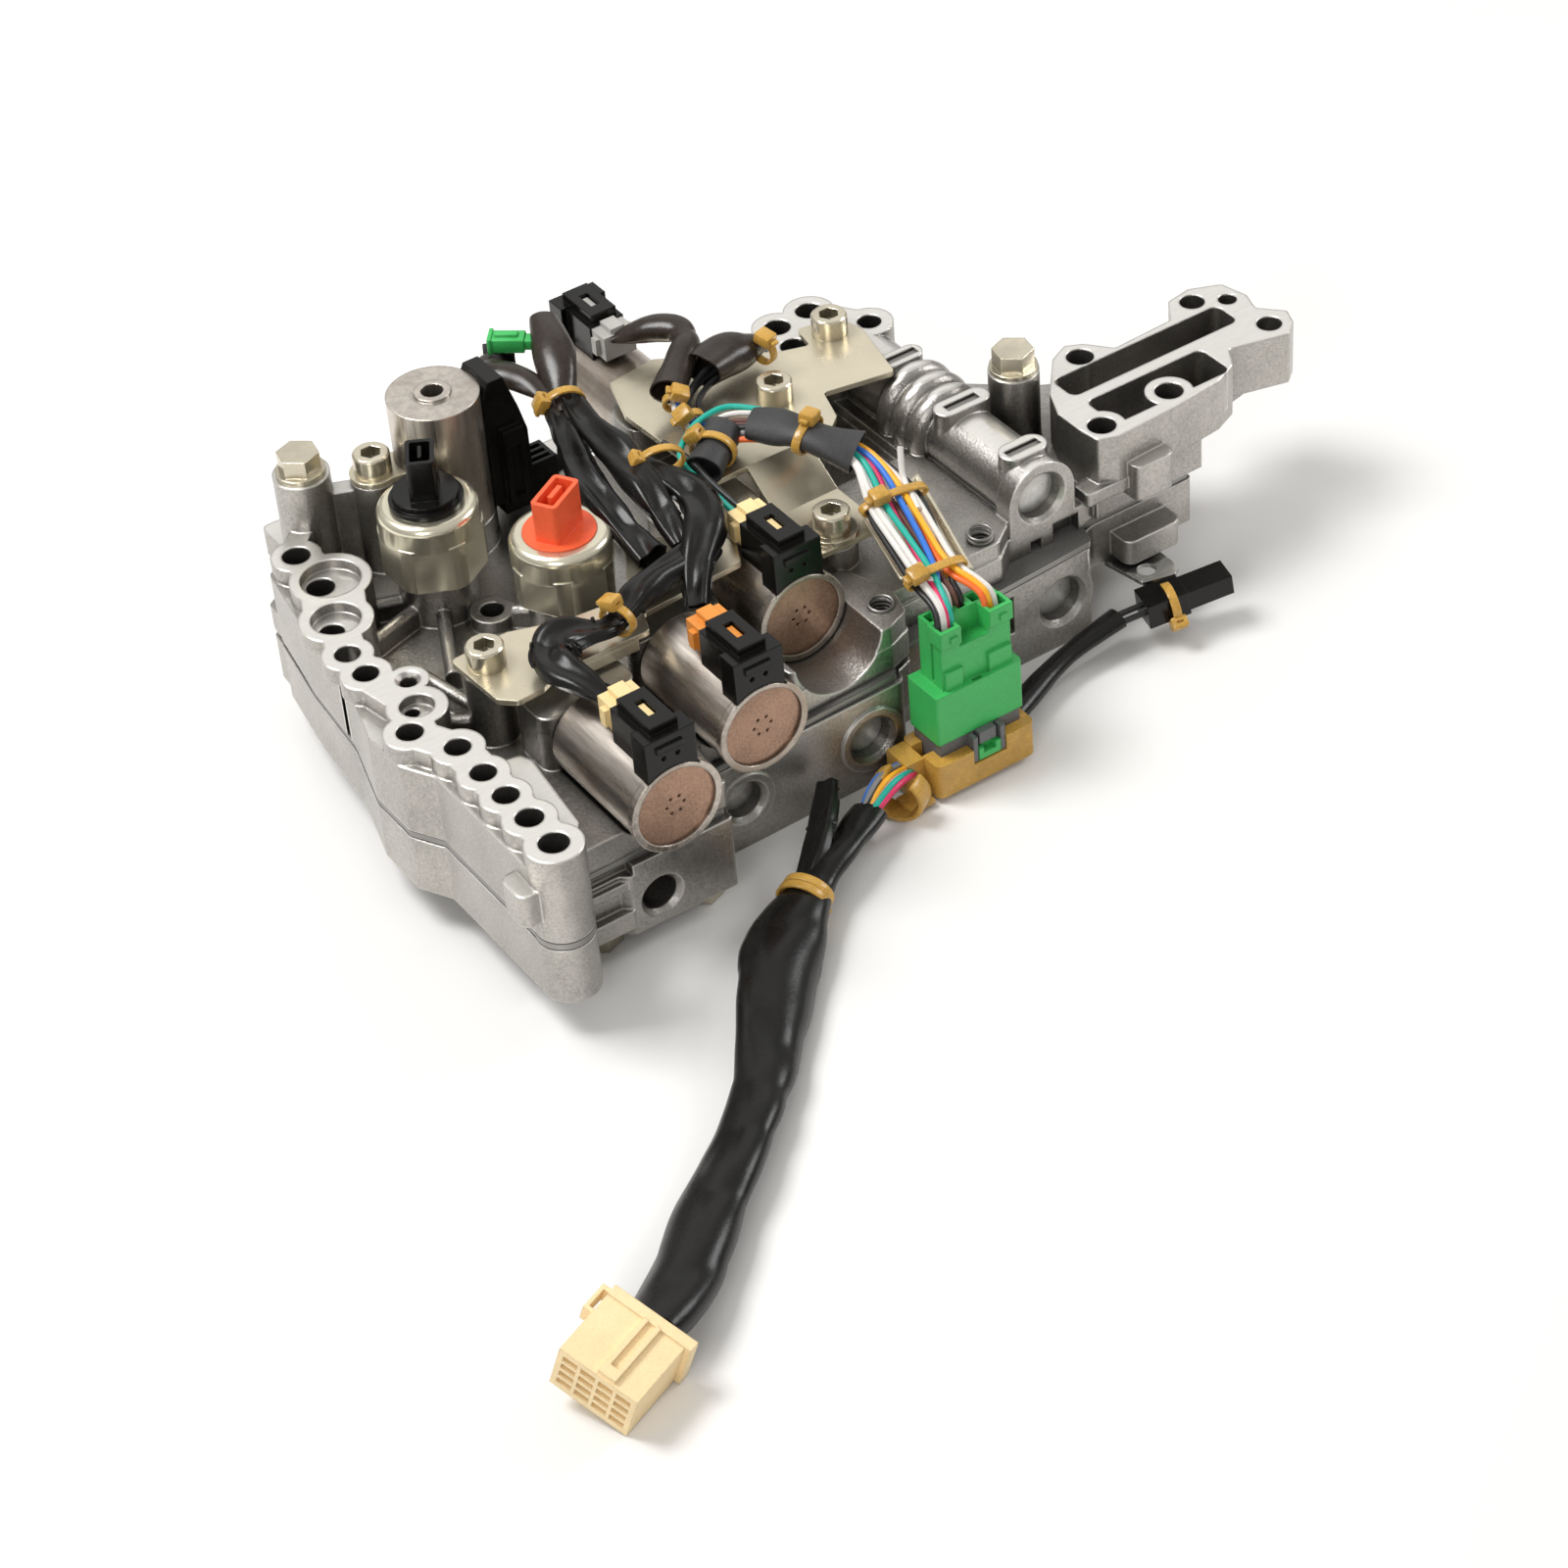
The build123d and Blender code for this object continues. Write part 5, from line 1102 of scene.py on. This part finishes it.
# Wires of the flat bundle: finish, lift in millimetres, places from -1 to 1 at the sleeve, both ties
# and the connector
RIBBON = [
    ("wire_black", -1.0, -0.90, -1.00, -0.92, -0.88),
    ("wire_white", 0.4, -1.00, -0.92, -0.72, -0.74),
    ("wire_white", 0.7, -0.84, -0.74, -0.50, -0.16),
    ("wire_white", 0.0, -0.68, -0.58, -0.62, -0.68),
    ("wire_pink", -0.2, 0.12, -0.22, -0.30, -0.60),
    ("wire_teal", 0.7, -0.25, -0.40, -0.10, -0.47),
    ("wire_blue", 0.6, 0.35, 0.16, 0.06, -0.30),
    ("wire_brown", -0.9, -0.05, -0.02, 0.18, 0.04),
    ("wire_black", -1.0, 0.95, 0.96, 0.66, 0.20),
    ("wire_orange", -0.7, 0.86, 0.50, 0.34, 0.58),
    ("wire_yellow", 0.6, 0.64, 0.40, 0.52, 0.72),
    ("wire_white", 0.0, 0.72, 0.70, 0.82, 0.88),
]

# Stations of the flat bundle from the sleeve to the lower tie, in millimetres: its middle, the spread of
# its wires in X and Y, and whether they sway there
RIBBON_STATIONS = [
    ((6.9, -11.6, 65.2), (2.8, 2.0), False),
    ((9.3, -15.0, 64.2), (3.3, 2.4), False),
    ((8.8, -23.0, 62.4), (5.4, 1.4), True),
    ((7.3, -32.3, 60.3), (8.2, 0.0), False),
    ((3.6, -46.6, 59.2), (7.8, 0.0), True),
    ((-0.6, -61.4, 57.4), (7.4, 0.0), False),
]
# Fan of the wires above the green connector in millimetres: middle and half width, distance behind the
# mouths, height, and the share of a wire's lift that is left
FAN_MIDDLE = 0.2
FAN_HALF = 8.6
FAN_BACK = 3.4
FAN_TOP = 55.8
FAN_LIFT = 0.4

# Sleeves roll from side to side along their routes: the greatest tilt and the step from point to point,
# in radians
SLEEVE_TILT = 0.35
SLEEVE_TURN = 1.9
# Height of the folds of the matte sleeve and of the empty flat ones, in metres
MATTE_FOLD = 0.0005
LEAF_FOLD = 0.0006

# Mouths of the green connector in millimetres: the middle and half width of its rows, the limits between
# which a wire goes to the back row, the front and back row, and the top and depth of a mouth
PLUG_MIDDLE = 0.5
PLUG_HALF = 10.2
PLUG_LIMITS = (-4.2, 6.2)
PLUG_ROWS = (-72.9, -68.0)
PLUG_TOP = 52.6
PLUG_SEAT = 45.0


class VALVE_OT_tail(bpy.types.Operator):
    """Lays the loose tail's sleeve and wires on the surface, out to its many-way connector"""

    bl_idname = "valve.tail"
    bl_label = "Loose tail"

    def execute(self, context):
        size = context.scene.valve_sleeves
        points = metres(TAIL)
        covered = [metres([TAIL_MOUTH])[0], *points[2:]]
        line = read_route(covered)
        tail = sleeve(
            "tail_sleeve",
            covered,
            size.tail_width,
            size.tail_height,
            "black_sleeve",
            TAIL_WIDENING,
            TAIL_TILTS,
            wrinkle=0.7 * size.wrinkle,
            wall=size.wall,
            crumple=0.08,
        )
        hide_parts("tail_cord")
        half = len(TAIL_WIRES) // 2
        for i, finish in enumerate(TAIL_WIRES):
            share = (i - half) / half
            across, along = STRAND_SPREAD
            inside = [
                (x + across * share, y + along * share, z + STRAND_RISE * (i % 3))
                for x, y, z in line[1:20:5]
            ]
            bow = metres(
                (x + dx * share, y + dy * share, z + rise * (i % 2)) for (x, y, z), (dx, dy), rise in TAIL_BOW
            )
            wire(f"tail_wire_{i}", bow + inside, size.wire, finish)
        leaves = [
            sleeve(
                name, metres(route), width * MM, height * MM, "black_sleeve", ends, turns, wrinkle=LEAF_FOLD,
                wall=size.wall, section=limp_section,
            )
            for name, route, (width, height), ends, turns in LEAVES
        ]
        return {"FINISHED"}


class VALVE_OT_lead(bpy.types.Operator):
    """Lays the short lead at the right front"""

    bl_idname = "valve.lead"
    bl_label = "Short lead"

    def execute(self, context):
        size = context.scene.valve_sleeves
        points = metres(LEAD)
        covered = points[:4] + metres([LEAD_END])
        cover = sleeve(
            "lead_cover", covered, *LEAD_SECTION, "black_sleeve", LEAD_WIDENING, wrinkle=LEAD_FOLD,
            wall=LEAD_WALL,
        )
        pair = [
            wire(
                f"lead_wire_{i}",
                [tuple(value + part * i for value, part in zip(point, LEAD_PAIR)) for point in points[2:]],
                size.wire,
                "wire_black",
                "black_sleeve",
            )
            for i in (-1, 1)
        ]
        lead = join([cover, *pair])
        lead.name = lead.data.name = "lead_sleeve"
        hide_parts("lead_cord")
        read_route(points)
        return {"FINISHED"}


class VALVE_OT_sleeves(bpy.types.Operator):
    """Lays the vinyl sleeves of the harness over the castings"""

    bl_idname = "valve.sleeves"
    bl_label = "Sleeves"

    def execute(self, context):
        size = context.scene.valve_sleeves
        for name, route, (width, height), finish, radii, node in SLEEVES:
            matte = finish == "matte_sleeve"
            smooth = finish != "black_sleeve"
            made = sleeve(
                name,
                metres(route),
                width * MM,
                height * MM,
                finish,
                radii,
                [SLEEVE_TILT * math.sin(SLEEVE_TURN * k + width) for k in range(len(route))],
                wrinkle=MATTE_FOLD if matte else size.wrinkle,
                wall=size.wall,
                section=oval if smooth else limp_section,
                crumple=0.15 if smooth else 0.3,
            )
            if node:
                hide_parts(node)
        return {"FINISHED"}


class VALVE_OT_wires(bpy.types.Operator):
    """Lays the loose wires between the sleeves"""

    bl_idname = "valve.wires"
    bl_label = "Loose wires"

    def execute(self, context):
        size = context.scene.valve_sleeves
        for name, route, finish, node in WIRE_RUNS:
            made = wire(name, metres(route), size.wire, finish)
            if node:
                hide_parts(node)
        return {"FINISHED"}


class VALVE_OT_ribbon(bpy.types.Operator):
    """Fans the single wires out from the main sleeve to the green connector"""

    bl_idname = "valve.ribbon"
    bl_label = "Flat bundle"

    def execute(self, context):
        size = context.scene.valve_sleeves
        draw = random.Random(size.seed)
        for i, (finish, lift, exit_share, upper_share, lower_share, plug_share) in enumerate(RIBBON):
            lift += draw.uniform(-0.2, 0.2)
            sway = draw.uniform(-0.3, 0.3)
            plug_x = PLUG_MIDDLE + PLUG_HALF * plug_share
            back_row = PLUG_LIMITS[0] <= plug_x <= PLUG_LIMITS[1]
            plug_y = PLUG_ROWS[back_row]
            middle_share = (upper_share + lower_share) / 2
            shares = (exit_share, exit_share, exit_share, upper_share, middle_share, lower_share)
            points = [
                (x + dx * share + sway * loose, y + dy * share, z + lift)
                for ((x, y, z), (dx, dy), loose), share in zip(RIBBON_STATIONS, shares)
            ]
            points += [
                (FAN_MIDDLE + FAN_HALF * plug_share, plug_y + FAN_BACK, FAN_TOP + FAN_LIFT * lift),
                (plug_x, plug_y, PLUG_TOP),
                (plug_x, plug_y, PLUG_SEAT),
            ]
            made = wire(f"ribbon_wire_{i:02d}", metres(points), size.wire, finish)
            if i == 0:
                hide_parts("wire_ribbon")
        return {"FINISHED"}


# Ties: name, place and direction in millimetres, width and height of the band, angle of the lock
# from the top
TIES = [
    ("tie_back", (-43.4, 45.6, 71.4), (-0.25, -1.0, -0.15), (10.4, 8.4), -1.2),
    ("tie_front", (-37.6, 7.6, 71.0), (-0.3, -1.0, -0.1), (11.6, 8.0), -1.2),
    ("tie_left", (-79.4, -36.4, 66.4), (-1.0, -0.42, 0.0), (8.6, 7.2), -0.3),
    ("tie_short", (-20.6, 9.2, 65.8), (-0.78, -0.62, 0.0), (11.2, 9.4), -0.8),
    ("tie_rear_end", (-17.6, 32.6, 67.0), (-0.6, -1.0, -0.2), (4.6, 4.4), 0.5),
    ("tie_rear_low", (-17.4, 24.0, 66.0), (-0.2, -1.0, -0.2), (5.4, 4.6), -0.7),
    ("tie_wide_end", (14.6, 37.6, 66.8), (1.0, 0.3, 0.0), (6.4, 6.2), -0.2),
    ("tie_main", (1.2, -2.6, 67.3), (0.45, -0.88, -0.08), (12.4, 7.6), 0.15),
    ("tie_ribbon_upper", (7.3, -32.3, 60.3), (-0.1, -1.0, -0.15), (18.4, 4.2), -0.42),
    ("tie_ribbon_lower", (-0.6, -61.4, 57.4), (-0.05, -1.0, -0.25), (16.8, 4.2), -0.62),
    ("tie_tail", (-66.4, -94.3, 8.9), (-0.88, -0.47, -0.05), (12.4, 9.0), 2.9),
    ("tie_tail_second", (-68.7, -95.5, 8.7), (-0.86, -0.50, -0.05), (12.6, 9.2), 3.1),
    ("tie_lead", (74.6, -61.4, 11.2), (0.93, -0.3, 0.12), (10.4, 8.6), -2.2),
]


class VALVE_OT_ties(bpy.types.Operator):
    """Puts the nylon ties round the bundles"""

    bl_idname = "valve.ties"
    bl_label = "Cable ties"

    def execute(self, context):
        for i, (name, place, way, (width, height), turn) in enumerate(TIES):
            band = tie_band(metres([place])[0], way, width * MM, height * MM, turn)
            made = settle(band, name, "amber_nylon", "amber_nylon")
            if i == 0:
                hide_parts("cable_ties")
        return {"FINISHED"}


# Open ring of the holder: half width, half height and depth in metres, the middle and half of its mouth
# in radians, its direction, and its centre in millimetres
RING = (0.0066, 0.0058, 0.0062)
RING_MOUTH = (math.radians(100.0), math.radians(34.0))
RING_WAY = (-0.85, -0.52, 0.0)
RING_PLACE = (-25.6, -76.2, 7.6)
# Wall and rounding of the ring in metres
RING_WALL = 0.0013
RING_EDGE = 0.0004
# Stay that holds the ring: limits in X, Y and Z in millimetres
RING_STAY = (-24.5, -16.5, -79.5, -72.5, 1.2, 3.0)


class VALVE_OT_clip(bpy.types.Operator):
    """Puts the open ring of the amber holder round the wires of the tail"""

    bl_idname = "valve.clip"
    bl_label = "Holder ring"

    def execute(self, context):
        ring = oval_band(*RING)
        mouth, half_mouth = RING_MOUTH
        edit_faces(ring, lambda face: abs(math.atan2(face.center.y, face.center.x) - mouth) < half_mouth)
        bpy.ops.mesh.delete(type="FACE")
        bpy.ops.object.mode_set(mode="OBJECT")
        thicken(ring, RING_WALL, 1.0, RING_EDGE)
        way = Vector(RING_WAY)
        side = way.cross(Vector((0, 0, 1))).normalized()
        stand = Matrix((side, Vector((0, 0, 1)), way)).transposed().to_4x4()
        ring.matrix_world = Matrix.Translation(Vector(RING_PLACE) * MM) @ stand
        stay = box_piece(*RING_STAY, round_mm=0.5)
        settle(join([ring, stay]), "holder_ring", "amber_nylon", "amber_nylon")
        return {"FINISHED"}


# Tray under the flat bundle: its corners from the back right on, round by the left, in millimetres,
# and its height, the width of its flat rim and of the slope inside it, the depth of its floor, its sheet
# and the rounding of its edges in metres
TRAY = ((24.6, -18.6), (1.6, -25.6), (-5.8, -52.6), (11.4, -61.0))
TRAY_HEIGHT = 0.0528
TRAY_RIM = 0.0009
TRAY_SLOPE = 0.0005
TRAY_DEPTH = 0.0017
TRAY_SHEET = 0.0010
TRAY_EDGE = 0.0004
# Foot that carries the tray: limits in X, Y and Z in millimetres
TRAY_FOOT = (11.0, 17.0, -30.0, -24.0, 43.0, 50.9)


class VALVE_OT_tray(bpy.types.Operator):
    """Presses the tray under the flat bundle with its raised rims"""

    bl_idname = "valve.tray"
    bl_label = "Tray"

    def execute(self, context):
        fresh()
        bpy.ops.mesh.primitive_plane_add(size=1.0)
        tray = context.object
        corners = sorted(tray.data.vertices, key=lambda v: math.atan2(v.co.y, v.co.x) % math.tau)
        for vertex, (x, y) in zip(corners, TRAY):
            vertex.co = (x * MM, y * MM, TRAY_HEIGHT)
        bpy.ops.object.mode_set(mode="EDIT")
        bpy.ops.mesh.select_all(action="SELECT")
        bpy.ops.mesh.inset(thickness=TRAY_RIM)
        bpy.ops.mesh.inset(thickness=TRAY_SLOPE, depth=-TRAY_DEPTH)
        bpy.ops.object.mode_set(mode="OBJECT")
        thicken(tray, TRAY_SHEET, 0.0, TRAY_EDGE)
        foot = box_piece(*TRAY_FOOT)
        made = settle(join([tray, foot]), "tray", "zinc_steel", "zinc_steel")
        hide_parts("harness_tray")
        return {"FINISHED"}


# Small back connectors: name, finish, place in millimetres, heading in degrees, and their boxes by limits
# in X, Y and Z and the rounding, in millimetres
SPARES = [
    (
        "spare_green_connector",
        "green_plastic",
        (-42.8, 71.6, 77.0),
        -39.7,
        [
            (-5.8, 3.6, -2.6, 2.6, -2.1, 2.1, 0.4),
            (3.0, 7.0, -1.9, 1.9, -1.5, 1.5, 0.3),
            (-4.6, 1.8, -1.1, 1.1, 1.8, 3.0, 0.3),
            (-6.4, -5.2, -3.0, 3.0, -2.4, 2.5, 0.3),
        ],
    ),
    (
        "spare_black_connector",
        "black_plastic",
        (-44.0, 76.6, 70.6),
        -28.0,
        [
            (-4.0, 3.6, -2.4, 2.4, -2.0, 2.0, 0.4),
            (-4.8, -3.2, -2.9, 2.9, -2.5, 2.5, 0.3),
            (-2.0, 2.4, -1.0, 1.0, 1.7, 2.7, 0.3),
        ],
    ),
]


class VALVE_OT_spare_connectors(bpy.types.Operator):
    """Adds the two small connectors at the back end of the long sleeves"""

    bl_idname = "valve.spare_connectors"
    bl_label = "Small back connectors"

    def execute(self, context):
        for name, finish, place, heading, boxes in SPARES:
            made = join([box_piece(*limits) for limits in boxes])
            turn = Matrix.Rotation(math.radians(heading), 4, "Z")
            made.matrix_world = Matrix.Translation(Vector(place) * MM) @ turn
            settle(made, name, finish, finish)
        return {"FINISHED"}


# Tapped holes: place of the mouth and radius in millimetres
TAPPED = [((27.9, -40.9, 46.0), 3.4), ((-9.4, -48.7, 45.6), 3.4)]
# Thread in millimetres: turns in a hole, depth of the first turn, pitch, half thickness of a turn and how
# far its middle stands into the hole; its lean in degrees
THREAD_TURNS = 7
THREAD_START = 1.2
THREAD_PITCH = 1.25
THREAD_HALF = 0.42
THREAD_REACH = 0.15
THREAD_LEAN = 3.0


class VALVE_OT_threads(bpy.types.Operator):
    """Cuts the turns of thread into the tapped holes"""

    bl_idname = "valve.threads"
    bl_label = "Threads"

    def execute(self, context):
        for i, (place, radius) in enumerate(TAPPED):
            turns = []
            for k in range(THREAD_TURNS):
                fresh()
                bpy.ops.mesh.primitive_torus_add(
                    major_radius=(radius - THREAD_REACH) * MM, minor_radius=THREAD_HALF * MM,
                    major_segments=40, minor_segments=8,
                )
                ring = context.object
                ring.location = Vector((place[0], place[1], place[2] - THREAD_START - THREAD_PITCH * k)) * MM
                ring.rotation_euler = (math.radians(THREAD_LEAN), 0.0, 0.0)
                bpy.ops.object.transform_apply(location=True, rotation=True, scale=True)
                turns.append(ring)
            settle(join(turns), f"thread_{i}", "cut_thread", "cast_aluminium")
        return {"FINISHED"}


# Valve springs: letter of the valve, turns, and the share of its length that the pressed spring keeps
SPRINGS = (("a", 7, 0.68), ("b", 7, 0.68), ("c", 7, 0.68), ("d", 5, 0.64))
SPRING_WIRE = 0.0014
POINTS_A_TURN = 12


class VALVE_OT_springs(bpy.types.Operator):
    """Winds the springs behind the valve spools"""

    bl_idname = "valve.springs"
    bl_label = "Valve springs"

    def execute(self, context):
        for letter, turns, keep in SPRINGS:
            low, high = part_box(f"valve_spring_{letter}")
            middle_x, middle_z = (low[0] + high[0]) / 2, (low[2] + high[2]) / 2
            radius = (high[0] - low[0] - SPRING_WIRE) / 2
            rise = high[1] - low[1] - SPRING_WIRE
            route = []
            for k in range(turns * POINTS_A_TURN + 1):
                turn = k / POINTS_A_TURN
                open_share = min(max((turn - 1.0) / (turns - 2.0), 0.0), 1.0)
                closed = SPRING_WIRE * (min(turn, 1.0) + max(turn - turns + 1.0, 0.0))
                y = low[1] + SPRING_WIRE / 2 + closed + (rise - 2.0 * SPRING_WIRE) * open_share
                angle = math.tau * turn
                route.append((middle_x + radius * math.cos(angle), y, middle_z + radius * math.sin(angle)))
            coil = wire(f"spring_coil_{letter}", route, SPRING_WIRE, "valve_alloy", "spring_steel")
            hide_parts(f"valve_spring_{letter}")
            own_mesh(coil)
        return {"FINISHED"}


# Stage


# Lamps: name, place and width in metres, and the setting that holds the power
LAMPS = [
    ("key_light", (-0.55, 0.40, 1.30), 0.60, "key"),
    ("fill_light", (-0.95, -0.85, 0.75), 0.45, "fill"),
    ("side_light", (1.05, -0.25, 0.75), 0.4, "fill"),
    ("back_light", (0.62, 1.00, 0.92), 1.2, "back"),
]
# Width of the floor in metres, and the colours of the world at the horizon and overhead
FLOOR_WIDTH = 30.0
HORIZON = (0.62, 0.61, 0.60)
OVERHEAD = (1.0, 0.985, 0.96)


def put_floor(colour):
    """A wide plain floor."""
    fresh()
    bpy.ops.mesh.primitive_plane_add(size=FLOOR_WIDTH, location=(0, 0, 0))
    floor = bpy.context.object
    floor.name = "floor"
    shader = start_material("pale_floor")[1]
    shader.inputs["Base Color"].default_value = (*colour, 1.0)
    shader.inputs["Roughness"].default_value = 0.7
    shader.inputs["Specular IOR Level"].default_value = 0.2
    floor.data.materials.append(finish_of("pale_floor"))


def put_lamps(stage):
    """Soft square lamps, each turned to the object."""
    for name, place, width, setting in LAMPS:
        light = bpy.data.lights.new(name, "AREA")
        light.size = width
        light.energy = getattr(stage, setting)
        lamp = bpy.data.objects.new(name, light)
        bpy.context.scene.collection.objects.link(lamp)
        lamp.location = place
        lamp.rotation_euler = (-Vector(place)).to_track_quat("-Z", "Y").to_euler()


def put_world(strength):
    """Light from all around, brighter overhead."""
    world = bpy.data.worlds.new("studio")
    bpy.context.scene.world = world
    world.use_nodes = True
    tree = world.node_tree
    back = tree.nodes["Background"]
    way = add_node(tree, "ShaderNodeTexCoord")
    height = add_node(tree, "ShaderNodeSeparateXYZ")
    tree.links.new(way.outputs["Generated"], height.inputs[0])
    share = ramp(tree, height.outputs["Z"], 0.05, 0.75)
    tree.links.new(mix_colour(tree, share, HORIZON, OVERHEAD), back.inputs["Color"])
    back.inputs["Strength"].default_value = strength


def put_camera(stage):
    """The camera, turned by its azimuth, elevation and roll."""
    camera = bpy.data.cameras.new("camera")
    camera.lens = stage.lens
    camera.sensor_width = 36.0
    camera.clip_start = 0.05
    camera.clip_end = 2 * FLOOR_WIDTH
    eye = bpy.data.objects.new("camera", camera)
    bpy.context.scene.collection.objects.link(eye)
    a, e, roll = stage.azimuth, stage.elevation, stage.roll
    right = Vector((math.cos(a), math.sin(a), 0.0))
    back_way = Vector((math.sin(a) * math.cos(e), -math.cos(a) * math.cos(e), math.sin(e)))
    up_way = back_way.cross(right)
    axis_x = right * math.cos(roll) - up_way * math.sin(roll)
    axis_y = right * math.sin(roll) + up_way * math.cos(roll)
    turn = Matrix((axis_x, axis_y, back_way)).transposed().to_4x4()
    eye.matrix_world = Matrix.Translation(Vector(stage.place)) @ turn
    bpy.context.scene.camera = eye


class VALVE_OT_stage(bpy.types.Operator):
    """Sets the floor, the soft lights, the world and the camera"""

    bl_idname = "valve.stage"
    bl_label = "Stage"

    def execute(self, context):
        stage = context.scene.valve_stage
        put_floor(stage.floor)
        put_lamps(stage)
        put_world(stage.sky)
        put_camera(stage)
        context.scene.view_settings.view_transform = "Standard"
        return {"FINISHED"}


class VALVE_PT_panel(bpy.types.Panel):
    """Lists the steps and settings of the valve body"""

    bl_idname = "VALVE_PT_panel"
    bl_label = "Valve body"
    bl_space_type = "VIEW_3D"
    bl_region_type = "UI"
    bl_category = "Valve body"

    def draw(self, context):
        for operator in STEPS:
            self.layout.operator(operator.bl_idname)
        for group, owner in (
            (SleeveSettings, "valve_sleeves"), (FinishSettings, "valve_finish"),
            (StageSettings, "valve_stage"),
        ):
            box = self.layout.box()
            for key in group.__annotations__:
                box.prop(getattr(context.scene, owner), key)


STEPS = (
    VALVE_OT_stage,
    VALVE_OT_finishes,
    VALVE_OT_tail,
    VALVE_OT_lead,
    VALVE_OT_sleeves,
    VALVE_OT_wires,
    VALVE_OT_ribbon,
    VALVE_OT_ties,
    VALVE_OT_clip,
    VALVE_OT_tray,
    VALVE_OT_spare_connectors,
    VALVE_OT_threads,
    VALVE_OT_springs,
)
SETTINGS = (SleeveSettings, FinishSettings, StageSettings)


def register():
    for kind in (*SETTINGS, *STEPS, VALVE_PT_panel):
        bpy.utils.register_class(kind)
    bpy.types.Scene.valve_sleeves = PointerProperty(type=SleeveSettings)
    bpy.types.Scene.valve_finish = PointerProperty(type=FinishSettings)
    bpy.types.Scene.valve_stage = PointerProperty(type=StageSettings)


def unregister():
    for name in ("valve_sleeves", "valve_finish", "valve_stage"):
        delattr(bpy.types.Scene, name)
    for kind in reversed((*SETTINGS, *STEPS, VALVE_PT_panel)):
        bpy.utils.unregister_class(kind)


def main():
    register()
    for operator in STEPS:
        group, name = operator.bl_idname.split(".")
        getattr(getattr(bpy.ops, group), name)()


if __name__ == "__main__":
    main()
